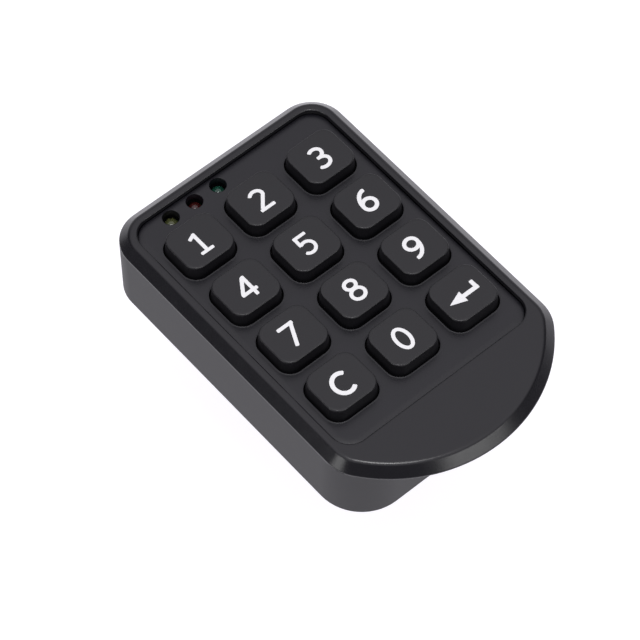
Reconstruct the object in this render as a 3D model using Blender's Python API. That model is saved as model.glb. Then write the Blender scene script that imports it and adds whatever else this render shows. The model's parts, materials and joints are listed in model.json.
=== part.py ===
"""Electronic cabinet lock: a keypad case with a finger-pull lip, and a motor-driven cam behind the door.

The case lies on its back: the back face is at z = 0, the keypad looks up (+Z), the lip points to -Y.
"""
import math

import bmesh
import bpy

# Clearances and cuts
FIT = 0.0003
OVERRUN = 0.001
BITE = 0.0005

# Keys
KEY_WIDTH = 0.0118
KEY_HEIGHT = 0.0108
KEY_CORNER = 0.0027
KEY_SPACE_X = 0.0020
KEY_SPACE_Y = 0.0016
KEY_RISE = 0.0032
KEY_DRAFT = 0.0003
KEY_EDGE = 0.00025
KEY_FLANGE = 0.0008
KEY_FLANGE_THICKNESS = 0.0008
KEY_TRAVEL = 0.0010

# Lamps
LAMP_RADIUS = 0.0015
LAMP_FLANGE_RADIUS = 0.0019
LAMP_FLANGE_HEIGHT = 0.0010
LAMP_BORE_RADIUS = 0.00175
LAMP_PITCH = 0.0062
LAMP_INSET = 0.0091
LAMP_LAND = 0.00025
LAMP_BELOW_PANEL = 0.0016

# Silicone mat
MAT_THICKNESS = 0.0008
MAT_MARGIN = 0.0006
MAT_TO_LAMP = 0.0009
MAT_CORNER = 0.0030
DOME_BASE_RADIUS = 0.0044
DOME_TIP_RADIUS = 0.0024
DOME_STOP = 0.0001

# Recess and keypad panel
PANEL_GAP = 0.0004
PANEL_THICKNESS = 0.0016
PANEL_SIDE = 0.0025
PANEL_BELOW = 0.0061
RECESS_CORNER = 0.0045
RECESS_DEPTH = 0.00104

# Case shell
CASE_WALL = 0.0022
CASE_WEB = 0.0014
RIM_SIDE = 0.00155
RIM_TOP = 0.0015
RIM_BELOW = 0.00715
TOP_CORNER = 0.0078
BOTTOM_CORNER = 0.0106
EDGE_CHAMFER = 0.00215

# Finger-pull lip
LIP_REACH = 0.0099
LIP_BULGE = 0.0050
LIP_CORNER = 0.0090
LIP_EDGE = 0.0004

# Main board
BOARD_THICKNESS = 0.0010
BOARD_CLEARANCE = 0.0004
BOARD_SPACE = 0.00036

# Parts under the board
CHIP_SIDE = 0.0070
CHIP_HEIGHT = 0.0010
CHIP_INSET = 0.0068
CHIP_BELOW_SPINDLE = 0.0080
BUZZER_RADIUS = 0.0040
BUZZER_HEIGHT = 0.0030
BUZZER_VENT_RADIUS = 0.0008
BUZZER_VENT_DEPTH = 0.0010
BUZZER_INSET = 0.0042
BUZZER_BELOW_SPINDLE = 0.0060
SWITCH_LENGTH = 0.0060
SWITCH_WIDTH = 0.0036
SWITCH_HEIGHT = 0.0030
SWITCH_PLUNGER = 0.0008

# Coin cells and their holder
CELL_RADIUS = 0.01225
CELL_THICKNESS = 0.0050
CELL_CAP_STEP = 0.0006
CELL_CAP_INSET = 0.0012
CELL_PARTITION = 0.0006
CELL_INSET = 0.00585
HOLDER_WALL = 0.0005
HOLDER_WAIST_WIDTH = 0.0160
HOLDER_WAIST_LENGTH = 0.0214
CONTACT_THICKNESS = 0.0003
LINK_LENGTH = 0.0320
LINK_WIDTH = 0.0054
SPRING_LENGTH = 0.0150
SPRING_WIDTH = 0.0040

# Back cover
COVER_THICKNESS = 0.0020
POST_RADIUS = 0.0015
POST_PIN_RADIUS = 0.0008
POST_GAP = 0.0005
BOSS_RADIUS = 0.0030
COVER_SCREW_RADIUS = 0.0010
COVER_SCREW_HEAD_RADIUS = 0.0022
COVER_SCREW_HEAD_HEIGHT = 0.0009
COVER_SCREW_LENGTH = 0.0080
COVER_SCREW_SINK = 0.0001

# Gear plate
PLATE_THICKNESS = 0.0008
PLATE_MARGIN = 0.0022
PLATE_CORNER = 0.0020

# Gears
MODULE = 0.0005
PINION_TEETH = 8
IDLER_LARGE_TEETH = 24
IDLER_SMALL_TEETH = 12
SPINDLE_TEETH = 36
IDLER_BEARING = 55.5
MOTOR_BEARING = 81.42
GEAR_WIDTH = 0.0015
ADDENDUM_SHARE = 0.80
DEDENDUM_SHARE = 1.10
TOOTH_ROOT_SHARE = 0.29
TOOTH_TIP_SHARE = 0.11
FLAG_STANDS = 0.0030
FLAG_WIDTH = 0.0030
IDLER_PIN_RADIUS = 0.0010
IDLER_PIN_SEAT = 0.0013
PIN_TO_FLANGE = 0.0004

# Motor
MOTOR_RADIUS = 0.0030
MOTOR_WALL_GAP = 0.0004
MOTOR_TOP_GAP = 0.0005
MOTOR_NOSE_RADIUS = 0.0012
MOTOR_NOSE_HEIGHT = 0.0003
MOTOR_SHAFT_RADIUS = 0.0005

# Spindle and barrel
SPINDLE_RADIUS = 0.0040
SPINDLE_COLLAR_RADIUS = 0.0050
SPINDLE_SEAT_RADIUS = 0.0030
SPINDLE_PIVOT_RADIUS = 0.0012
SPINDLE_SQUARE = 0.0056
BARREL_RADIUS = 0.0095
BARREL_FLAT_DEPTH = 0.0015
BARREL_FLANGE = 0.0011
BARREL_FLANGE_THICKNESS = 0.0012
BARREL_SPARE = 0.0010

# Nut, washer and cam
DOOR_THICKNESS = 0.0120
LOCK_WASHER_BAND = 0.0032
LOCK_WASHER_THICKNESS = 0.0009
LOCK_WASHER_TEETH = 20
LOCK_WASHER_TOOTH = 0.0009
NUT_WALL = 0.0022
NUT_THICKNESS = 0.0050
NUT_CHAMFER = 0.0006
CAM_HEAD_RADIUS = 0.0090
CAM_WIDTH = 0.0140
CAM_LENGTH = 0.0380
CAM_TIP_CORNER = 0.0030
CAM_THICKNESS = 0.0025
CAM_WASHER_RADIUS = 0.0060
CAM_WASHER_THICKNESS = 0.0010
CAM_SCREW_RADIUS = 0.0015
CAM_SCREW_HEAD_RADIUS = 0.0040
CAM_SCREW_HEAD_HEIGHT = 0.0024
CAM_SCREW_LENGTH = 0.0100
SLOT_LENGTH_SHARE = 0.60
SLOT_WIDTH_SHARE = 0.16
SLOT_DEPTH_SHARE = 0.60

# Steps round curves
CORNER_STEPS = 6
LIP_STEPS = 20
ROUND_STEPS = 28
SMALL_STEPS = 16

# Heights, worked out from the back face up
COVER_TOP_Z = COVER_THICKNESS
COVER_FLOOR_Z = COVER_TOP_Z + FIT
FLANGE_LEVEL_Z = COVER_FLOOR_Z + BARREL_FLANGE_THICKNESS
LOWER_GEAR_Z = FLANGE_LEVEL_Z + FIT
UPPER_GEAR_Z = LOWER_GEAR_Z + GEAR_WIDTH + FIT
GEARS_TOP_Z = UPPER_GEAR_Z + GEAR_WIDTH
FLAG_LOW_Z = UPPER_GEAR_Z + GEAR_WIDTH / 4
FLAG_TOP_Z = GEARS_TOP_Z - GEAR_WIDTH / 4
PLATE_LOW_Z = GEARS_TOP_Z + FIT
PLATE_TOP_Z = PLATE_LOW_Z + PLATE_THICKNESS
CELL_LOW_Z = COVER_FLOOR_Z + CONTACT_THICKNESS + FIT
CELL_TOP_Z = CELL_LOW_Z + CELL_THICKNESS
SPRING_LOW_Z = CELL_TOP_Z + FIT
SPRING_TOP_Z = SPRING_LOW_Z + CONTACT_THICKNESS
BOARD_LOW_Z = max(PLATE_TOP_Z, SPRING_TOP_Z) + BOARD_SPACE
BOARD_TOP_Z = BOARD_LOW_Z + BOARD_THICKNESS
UNDER_BOARD_Z = BOARD_LOW_Z - FIT
MAT_LOW_Z = BOARD_TOP_Z + FIT
MAT_TOP_Z = MAT_LOW_Z + MAT_THICKNESS
DOME_TOP_Z = MAT_TOP_Z + KEY_TRAVEL + FIT + DOME_STOP
FLANGE_LOW_Z = DOME_TOP_Z + FIT
FLANGE_TOP_Z = FLANGE_LOW_Z + KEY_FLANGE_THICKNESS
WEB_LOW_Z = FLANGE_TOP_Z + FIT
WEB_TOP_Z = WEB_LOW_Z + CASE_WEB
PANEL_LOW_Z = WEB_TOP_Z + FIT
PANEL_TOP_Z = PANEL_LOW_Z + PANEL_THICKNESS
CASE_DEPTH = PANEL_TOP_Z + RECESS_DEPTH
KEY_TOP_Z = PANEL_TOP_Z + KEY_RISE
LIP_UNDER_Z = CASE_DEPTH - EDGE_CHAMFER - LIP_EDGE
MOTOR_LOW_Z = LOWER_GEAR_Z + GEAR_WIDTH + FIT + MOTOR_NOSE_HEIGHT
MOTOR_TOP_Z = WEB_LOW_Z - MOTOR_TOP_GAP

# Heights below the back face
WASHER_TOP_Z = -DOOR_THICKNESS
NUT_TOP_Z = WASHER_TOP_Z - LOCK_WASHER_THICKNESS - FIT
BARREL_END_Z = NUT_TOP_Z - NUT_THICKNESS - BARREL_SPARE
CAM_TOP_Z = BARREL_END_Z - FIT
CAM_LOW_Z = CAM_TOP_Z - CAM_THICKNESS
CAM_WASHER_TOP_Z = CAM_LOW_Z - FIT
CAM_SCREW_HEAD_TOP_Z = CAM_WASHER_TOP_Z - CAM_WASHER_THICKNESS - FIT
SPINDLE_END_Z = CAM_LOW_Z + FIT / 2
SPINDLE_STEP_Z = CAM_TOP_Z + FIT / 2

# The nut and the lock washer are as large as the barrel in them needs
BARREL_FLATS = 2 * (BARREL_RADIUS - BARREL_FLAT_DEPTH)
NUT_FLATS = 2 * (BARREL_RADIUS + FIT + NUT_WALL)
LOCK_WASHER_RADIUS = BARREL_RADIUS + FIT + LOCK_WASHER_BAND

# The recess is as large as its keys and lamps need, and the case is as wide as the recess or the cells need
KEY_PITCH_X = KEY_WIDTH + 2 * KEY_DRAFT + 2 * KEY_FLANGE + KEY_SPACE_X
KEY_PITCH_Y = KEY_HEIGHT + 2 * KEY_DRAFT + 2 * KEY_FLANGE + KEY_SPACE_Y
SKIRT_HALF_X = KEY_PITCH_X + KEY_WIDTH / 2 + KEY_DRAFT
SKIRT_HALF_Y = KEY_PITCH_Y * 1.5 + KEY_HEIGHT / 2 + KEY_DRAFT
LAMP_FROM_TOP = PANEL_GAP + LAMP_LAND + LAMP_BORE_RADIUS
PANEL_ABOVE = LAMP_FROM_TOP + LAMP_FLANGE_RADIUS + MAT_TO_LAMP + MAT_MARGIN + KEY_FLANGE
RECESS_HALF_X = SKIRT_HALF_X + PANEL_SIDE
RECESS_LENGTH = SKIRT_HALF_Y * 2 + PANEL_ABOVE + PANEL_BELOW
CELLS_HALF_X = CELL_PARTITION / 2 + 2 * (CELL_RADIUS + FIT)
HALF_WIDTH = max(RECESS_HALF_X + RIM_SIDE + EDGE_CHAMFER, CELLS_HALF_X + HOLDER_WALL + FIT + CASE_WALL)
HALF_LENGTH = (RECESS_LENGTH + RIM_TOP + EDGE_CHAMFER + RIM_BELOW) / 2
RECESS_HIGH_Y = HALF_LENGTH - EDGE_CHAMFER - RIM_TOP
RECESS_MID_Y = RECESS_HIGH_Y - RECESS_LENGTH / 2
KEYPAD_Y = RECESS_HIGH_Y - PANEL_ABOVE - SKIRT_HALF_Y
LIP_RADIUS = HALF_WIDTH + LIP_BULGE
LIP_TIP_Y = -HALF_LENGTH - LIP_REACH
LIP_CENTRE_Y = LIP_TIP_Y + LIP_RADIUS
INNER_HALF_X = HALF_WIDTH - CASE_WALL
INNER_HALF_Y = HALF_LENGTH - CASE_WALL
INNER_TOP_CORNER = TOP_CORNER - CASE_WALL
INNER_BOTTOM_CORNER = BOTTOM_CORNER - CASE_WALL
HOLDER_HALF_X = INNER_HALF_X - FIT
CELL_SPACING = 2 * (HOLDER_HALF_X - HOLDER_WALL - FIT - CELL_RADIUS)
CELL_Y = -INNER_HALF_Y + CELL_INSET + CELL_RADIUS + FIT + HOLDER_WALL

# Screw bosses sit where they just bite into the rounded inner corners
TOP_BOSS_OUT = (INNER_TOP_CORNER + FIT - BOSS_RADIUS) * math.sqrt(0.5)
LOW_BOSS_OUT = (INNER_BOTTOM_CORNER + FIT - BOSS_RADIUS) * math.sqrt(0.5)
TOP_BOSS_X = INNER_HALF_X - INNER_TOP_CORNER + TOP_BOSS_OUT
TOP_BOSS_Y = INNER_HALF_Y - INNER_TOP_CORNER + TOP_BOSS_OUT
LOW_BOSS_X = INNER_HALF_X - INNER_BOTTOM_CORNER + LOW_BOSS_OUT
LOW_BOSS_Y = -INNER_HALF_Y + INNER_BOTTOM_CORNER - LOW_BOSS_OUT
BOSSES = [
    (-TOP_BOSS_X, TOP_BOSS_Y),
    (TOP_BOSS_X, TOP_BOSS_Y),
    (-LOW_BOSS_X, LOW_BOSS_Y),
    (LOW_BOSS_X, LOW_BOSS_Y),
]

# The board fills the case down to the lower bosses
BOARD_HALF_X = INNER_HALF_X - BOARD_CLEARANCE
BOARD_HIGH_Y = INNER_HALF_Y - BOARD_CLEARANCE
BOARD_LOW_Y = LOW_BOSS_Y + BOSS_RADIUS + BOARD_CLEARANCE
BOARD_CORNER = INNER_TOP_CORNER - BOARD_CLEARANCE

# The motor lies against the top wall, and the gear train reaches down from it to the spindle.
# The idler's pin clears the barrel's flange, and the teeth between idler and spindle are cut to that distance.
MOTOR_TO_IDLER = MODULE * (PINION_TEETH + IDLER_LARGE_TEETH) / 2
IDLER_TO_SPINDLE = BARREL_RADIUS + BARREL_FLANGE + PIN_TO_FLANGE + IDLER_PIN_RADIUS
SPINDLE_MODULE = 2 * IDLER_TO_SPINDLE / (IDLER_SMALL_TEETH + SPINDLE_TEETH)
MOTOR_Y = INNER_HALF_Y - MOTOR_WALL_GAP - MOTOR_RADIUS
IDLER_Y = MOTOR_Y - MOTOR_TO_IDLER * math.sin(math.radians(MOTOR_BEARING))
SPINDLE_Y = IDLER_Y - IDLER_TO_SPINDLE * math.sin(math.radians(IDLER_BEARING))
IDLER_X = IDLER_TO_SPINDLE * math.cos(math.radians(IDLER_BEARING))
MOTOR_X = IDLER_X + MOTOR_TO_IDLER * math.cos(math.radians(MOTOR_BEARING))
SPINDLE_TIP = SPINDLE_MODULE * (SPINDLE_TEETH / 2 + ADDENDUM_SHARE)
IDLER_TIP = MODULE * (IDLER_LARGE_TEETH / 2 + ADDENDUM_SHARE)
FLAG_REACH = SPINDLE_TIP + FLAG_STANDS
POST_LEFT_X = -SPINDLE_TIP - POST_RADIUS
POST_RIGHT_X = IDLER_X + IDLER_TIP + POST_RADIUS + POST_GAP
POST_OUT_Y = SPINDLE_TIP + POST_RADIUS + POST_GAP
POSTS = [(x, SPINDLE_Y + side * POST_OUT_Y) for x in (POST_LEFT_X, POST_RIGHT_X) for side in (-1, 1)]

KEY_NAMES = [
    ["key_clear", "key_0", "key_enter"],
    ["key_7", "key_8", "key_9"],
    ["key_4", "key_5", "key_6"],
    ["key_1", "key_2", "key_3"],
]
KEYS = {
    name: ((column - 1) * KEY_PITCH_X, KEYPAD_Y + (row - 1.5) * KEY_PITCH_Y)
    for row, names in enumerate(KEY_NAMES)
    for column, name in enumerate(names)
}
LAMP_ROW_Y = RECESS_HIGH_Y - LAMP_FROM_TOP
LAMPS = {
    name: -RECESS_HALF_X + LAMP_INSET + number * LAMP_PITCH
    for number, name in enumerate(("led_yellow", "led_red", "led_green"))
}


def clear_scene():
    """Remove every object that the file starts with."""
    for thing in list(bpy.data.objects):
        bpy.data.objects.remove(thing, do_unlink=True)


def finish(name, colour, roughness, metallic=0.0):
    """A plain material for one kind of piece."""
    material = bpy.data.materials.new(name)
    material.use_nodes = True
    shader = material.node_tree.nodes["Principled BSDF"]
    shader.inputs["Base Color"].default_value = (*colour, 1.0)
    shader.inputs["Roughness"].default_value = roughness
    shader.inputs["Metallic"].default_value = metallic
    material.diffuse_color = (*colour, 1.0)
    return material


def arc(centre_x, centre_y, radius, start, end, steps):
    """Points along an arc from start to end, in degrees, both ends included."""
    points = []
    for i in range(steps + 1):
        angle = math.radians(start + (end - start) * i / steps)
        points.append((centre_x + radius * math.cos(angle), centre_y + radius * math.sin(angle)))
    return points


def circle(radius, steps=ROUND_STEPS, x=0, y=0):
    """A closed round outline."""
    return arc(x, y, radius, 0, 360, steps)[:-1]


def rectangle(half_x, half_y, x=0, y=0):
    """A closed square-cornered outline."""
    return [
        (x + half_x, y - half_y),
        (x + half_x, y + half_y),
        (x - half_x, y + half_y),
        (x - half_x, y - half_y),
    ]


def rounded(half_x, half_y, radius, x=0, y=0, low_radius=None, steps=CORNER_STEPS):
    """A closed rectangle with rounded corners, whose lower pair may have their own radius."""
    low = radius if low_radius is None else low_radius
    points = arc(x + half_x - low, y - half_y + low, low, -90, 0, steps)
    points += arc(x + half_x - radius, y + half_y - radius, radius, 0, 90, steps)
    points += arc(x - half_x + radius, y + half_y - radius, radius, 90, 180, steps)
    points += arc(x - half_x + low, y - half_y + low, low, 180, 270, steps)
    return points


def double_flat(radius, flats, x=0, y=0):
    """A circle with two flats that face +X and -X."""
    half = math.degrees(math.acos(flats / 2 / radius))
    steps = ROUND_STEPS // 2
    points = arc(x, y, radius, half, 180 - half, steps)
    return points + arc(x, y, radius, 180 + half, 360 - half, steps)


def front_outline(inset):
    """The front face's outline: straight sides, round top corners and the lip's arc, moved in by inset."""
    corner_x = HALF_WIDTH - LIP_CORNER
    drop = math.sqrt((LIP_RADIUS - LIP_CORNER) ** 2 - corner_x ** 2)
    corner_y = LIP_CENTRE_Y - drop
    turn = math.degrees(math.atan2(drop, corner_x))
    top_x = HALF_WIDTH - TOP_CORNER
    top_y = HALF_LENGTH - TOP_CORNER
    points = arc(0, LIP_CENTRE_Y, LIP_RADIUS - inset, 180 + turn, 360 - turn, LIP_STEPS)
    points += arc(corner_x, corner_y, LIP_CORNER - inset, -turn, 0, CORNER_STEPS)[1:]
    points += arc(top_x, top_y, TOP_CORNER - inset, 0, 90, CORNER_STEPS)
    points += arc(-top_x, top_y, TOP_CORNER - inset, 90, 180, CORNER_STEPS)
    points += arc(-corner_x, corner_y, LIP_CORNER - inset, 180, 180 + turn, CORNER_STEPS)[:-1]
    return points


def gear_outline(teeth, first_angle, module=MODULE):
    """Straight-flanked teeth, the first one centred on first_angle, in degrees."""
    root = module * (teeth / 2 - DEDENDUM_SHARE)
    tip = module * (teeth / 2 + ADDENDUM_SHARE)
    pitch = 360 / teeth
    points = []
    for i in range(teeth):
        middle = first_angle + i * pitch
        for radius, share in (
            (root, -TOOTH_ROOT_SHARE),
            (tip, -TOOTH_TIP_SHARE),
            (tip, TOOTH_TIP_SHARE),
            (root, TOOTH_ROOT_SHARE),
        ):
            angle = math.radians(middle + share * pitch)
            points.append((radius * math.cos(angle), radius * math.sin(angle)))
    return points


def cross(half_length, half_width):
    """A cross-shaped outline for a screw's recess."""
    corner = [(half_length, -half_width), (half_length, half_width), (half_width, half_width)]
    points = []
    for quarter in range(4):
        angle = math.radians(90 * quarter)
        for x, y in corner:
            points.append((x * math.cos(angle) - y * math.sin(angle), x * math.sin(angle) + y * math.cos(angle)))
    return points


def shifted(outline, x, y):
    """The same outline moved to another place."""
    return [(px + x, py + y) for px, py in outline]


def prism(outline, low, high):
    """A straight body between two heights, as the list of its sections."""
    return [(outline, low), (outline, high)]


def turned(profile, steps=ROUND_STEPS, x=0, y=0):
    """A turned body, from its radius and height pairs, lowest first."""
    return [(circle(radius, steps, x, y), height) for radius, height in profile]


def add_body(mesh, sections):
    """One closed body through its sections, lowest first."""
    rows = []
    for outline, height in sections:
        rows.append([mesh.verts.new((x, y, height)) for x, y in outline])
    count = len(rows[0])
    for low, high in zip(rows, rows[1:]):
        for i in range(count):
            j = (i + 1) % count
            mesh.faces.new((low[i], low[j], high[j], high[i]))
    mesh.faces.new(rows[0][::-1])
    mesh.faces.new(rows[-1])


def make(name, bodies, material=None, x=0, y=0):
    """A named object holding the given bodies, with its origin at x, y."""
    work = bmesh.new()
    for sections in bodies:
        add_body(work, sections)
    data = bpy.data.meshes.new(name)
    work.to_mesh(data)
    work.free()
    data.shade_smooth()
    data.set_sharp_from_angle(angle=math.radians(32))
    thing = bpy.data.objects.new(name, data)
    thing.location = (x, y, 0)
    bpy.context.scene.collection.objects.link(thing)
    if material is not None:
        data.materials.append(material)
    return thing


def combine(target, label, bodies, operation):
    """Cut bodies out of the target, or join them to it."""
    tool = make(target.name + "_" + label, bodies, None, target.location.x, target.location.y)
    tool.hide_render = True
    tool.display_type = "WIRE"
    modifier = target.modifiers.new(label, "BOOLEAN")
    modifier.object = tool
    modifier.operation = operation
    modifier.solver = "EXACT"


def cut(target, label, bodies):
    """Cut bodies out of the target."""
    combine(target, label, bodies, "DIFFERENCE")


def join(target, label, bodies):
    """Join bodies to the target."""
    combine(target, label, bodies, "UNION")


def case_inner_outline(gap):
    """The outline inside the case's walls, moved in by gap."""
    return rounded(
        INNER_HALF_X - gap,
        INNER_HALF_Y - gap,
        INNER_TOP_CORNER - gap,
        low_radius=INNER_BOTTOM_CORNER - gap,
    )


def key_outline(margin):
    """A key's outline at its flat top, grown by margin."""
    return rounded(KEY_WIDTH / 2 + margin, KEY_HEIGHT / 2 + margin, KEY_CORNER + margin, steps=CORNER_STEPS - 1)


def key_openings(low, high):
    """The openings that all twelve keys pass through."""
    hole = key_outline(KEY_DRAFT + FIT)
    return [prism(shifted(hole, x, y), low, high) for x, y in KEYS.values()]


def lamp_bores(radius, low, high):
    """The three lamp bores."""
    return [prism(circle(radius, ROUND_STEPS, x, LAMP_ROW_Y), low, high) for x in LAMPS.values()]


def under_lip_outline():
    """Everything outside the case's lower end, which the lip alone reaches over."""
    start_y = -HALF_LENGTH + BOTTOM_CORNER
    corner_x = HALF_WIDTH - BOTTOM_CORNER
    far_x = HALF_WIDTH + OVERRUN
    far_y = LIP_TIP_Y - OVERRUN
    points = [(far_x, far_y), (far_x, start_y)]
    points += arc(corner_x, start_y, BOTTOM_CORNER, 0, -90, CORNER_STEPS + 2)
    points += arc(-corner_x, start_y, BOTTOM_CORNER, -90, -180, CORNER_STEPS + 2)
    points += [(-far_x, start_y), (-far_x, far_y)]
    return points


def build_case(material):
    """The front housing with its lip, recess, web and screw bosses."""
    body = [
        (front_outline(0), 0),
        (front_outline(0), CASE_DEPTH - EDGE_CHAMFER),
        (front_outline(EDGE_CHAMFER), CASE_DEPTH),
    ]
    case = make("front_housing", [body], material)
    recess = rounded(RECESS_HALF_X, RECESS_LENGTH / 2, RECESS_CORNER, y=RECESS_MID_Y)
    cut(case, "lip", [prism(under_lip_outline(), -OVERRUN, LIP_UNDER_Z)])
    cut(case, "cavity", [prism(case_inner_outline(0), -OVERRUN, WEB_LOW_Z)])
    cut(case, "recess", [prism(recess, WEB_TOP_Z, CASE_DEPTH + OVERRUN)])
    cut(case, "keys", key_openings(WEB_LOW_Z - OVERRUN, WEB_TOP_Z + OVERRUN))
    lamp_bore = LAMP_BORE_RADIUS + FIT
    cut(case, "lamps", lamp_bores(lamp_bore, WEB_LOW_Z - OVERRUN, WEB_TOP_Z + OVERRUN))
    low = COVER_TOP_Z + FIT
    bosses = [prism(circle(BOSS_RADIUS, SMALL_STEPS, x, y), low, WEB_LOW_Z + BITE) for x, y in BOSSES]
    join(case, "bosses", bosses)
    pilot = COVER_SCREW_RADIUS + FIT
    top = COVER_SCREW_HEAD_HEIGHT + COVER_SCREW_LENGTH + OVERRUN
    pilots = [prism(circle(pilot, SMALL_STEPS, x, y), low - OVERRUN, top) for x, y in BOSSES]
    cut(case, "pilots", pilots)


def build_panel(material):
    """The recessed panel round the keys and lamps."""
    outline = rounded(
        RECESS_HALF_X - PANEL_GAP,
        RECESS_LENGTH / 2 - PANEL_GAP,
        RECESS_CORNER - PANEL_GAP,
        y=RECESS_MID_Y,
    )
    panel = make("keypad_panel", [prism(outline, PANEL_LOW_Z, PANEL_TOP_Z)], material)
    cut(panel, "keys", key_openings(PANEL_LOW_Z - OVERRUN, PANEL_TOP_Z + OVERRUN))
    cut(panel, "lamps", lamp_bores(LAMP_BORE_RADIUS, PANEL_LOW_Z - OVERRUN, PANEL_TOP_Z + OVERRUN))


def build_keys(material):
    """Twelve keys, each with a flange that stops it under the web."""
    flange = key_outline(KEY_DRAFT + KEY_FLANGE)
    skirt = key_outline(KEY_DRAFT)
    sections = [
        (flange, FLANGE_LOW_Z),
        (flange, FLANGE_TOP_Z),
        (skirt, FLANGE_TOP_Z),
        (skirt, PANEL_TOP_Z),
        (key_outline(0), KEY_TOP_Z - KEY_EDGE),
        (key_outline(-KEY_EDGE), KEY_TOP_Z),
    ]
    for name, (x, y) in KEYS.items():
        make(name, [sections], material, x, y)


def build_mat(material):
    """The silicone mat with one dome under each key."""
    margin = KEY_FLANGE + MAT_MARGIN
    sheet = rounded(SKIRT_HALF_X + margin, SKIRT_HALF_Y + margin, MAT_CORNER, y=KEYPAD_Y)
    mat = make("silicone_mat", [prism(sheet, MAT_LOW_Z, MAT_TOP_Z)], material)
    domes = []
    for x, y in KEYS.values():
        profile = [
            (DOME_BASE_RADIUS, MAT_TOP_Z - MAT_THICKNESS / 2),
            (DOME_BASE_RADIUS, MAT_TOP_Z + FIT),
            (DOME_TIP_RADIUS, DOME_TOP_Z),
        ]
        domes.append(turned(profile, SMALL_STEPS, x, y))
    join(mat, "domes", domes)


def build_board(material):
    """The main board, notched for the upper screw bosses and the motor."""
    middle_y = (BOARD_HIGH_Y + BOARD_LOW_Y) / 2
    outline = rounded(BOARD_HALF_X, (BOARD_HIGH_Y - BOARD_LOW_Y) / 2, BOARD_CORNER, y=middle_y)
    board = make("main_board", [prism(outline, BOARD_LOW_Z, BOARD_TOP_Z)], material)
    low = BOARD_LOW_Z - OVERRUN
    high = BOARD_TOP_Z + OVERRUN
    notches = []
    for x, y in BOSSES[:2]:
        notches.append(prism(circle(BOSS_RADIUS + FIT, SMALL_STEPS, x, y), low, high))
    slot_radius = MOTOR_RADIUS + FIT
    slot = arc(MOTOR_X, MOTOR_Y, slot_radius, 180, 360, SMALL_STEPS)
    slot += [(MOTOR_X + slot_radius, BOARD_HIGH_Y + OVERRUN), (MOTOR_X - slot_radius, BOARD_HIGH_Y + OVERRUN)]
    notches.append(prism(slot, low, high))
    cut(board, "notches", notches)


def build_lamps(materials):
    """Three domed lamps standing on the board."""
    low = BOARD_TOP_Z + FIT
    dome_low = PANEL_TOP_Z - LAMP_BELOW_PANEL - LAMP_RADIUS
    profile = [
        (LAMP_FLANGE_RADIUS, low),
        (LAMP_FLANGE_RADIUS, low + LAMP_FLANGE_HEIGHT),
        (LAMP_RADIUS, low + LAMP_FLANGE_HEIGHT),
    ]
    for angle in range(0, 90, 15):
        turn = math.radians(angle)
        profile.append((LAMP_RADIUS * math.cos(turn), dome_low + LAMP_RADIUS * math.sin(turn)))
    for name, x in LAMPS.items():
        make(name, [turned(profile, SMALL_STEPS)], materials[name], x, LAMP_ROW_Y)


def build_electronics(black, steel):
    """The chip, the buzzer and the position switch under the board."""
    chip = [prism(rectangle(CHIP_SIDE / 2, CHIP_SIDE / 2), UNDER_BOARD_Z - CHIP_HEIGHT, UNDER_BOARD_Z)]
    make("controller_chip", chip, black, -BOARD_HALF_X + CHIP_INSET, SPINDLE_Y - CHIP_BELOW_SPINDLE)
    low = UNDER_BOARD_Z - BUZZER_HEIGHT
    can = turned([(BUZZER_RADIUS, low), (BUZZER_RADIUS, UNDER_BOARD_Z)])
    buzzer = make("buzzer", [can], black, BOARD_HALF_X - BUZZER_INSET, SPINDLE_Y - BUZZER_BELOW_SPINDLE)
    vent = turned([(BUZZER_VENT_RADIUS, low - OVERRUN), (BUZZER_VENT_RADIUS, low + BUZZER_VENT_DEPTH)], SMALL_STEPS)
    cut(buzzer, "vent", [vent])
    box = prism(rectangle(SWITCH_WIDTH / 2, SWITCH_LENGTH / 2), UNDER_BOARD_Z - SWITCH_HEIGHT, UNDER_BOARD_Z)
    switch_x = -FLAG_REACH - FIT - SWITCH_PLUNGER - SWITCH_WIDTH / 2
    switch = make("position_switch", [box], steel, switch_x, SPINDLE_Y)
    plunger = rectangle(SWITCH_PLUNGER, SWITCH_PLUNGER, SWITCH_WIDTH / 2)
    join(switch, "plunger", [prism(plunger, FLAG_LOW_Z, FLAG_TOP_Z)])


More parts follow.
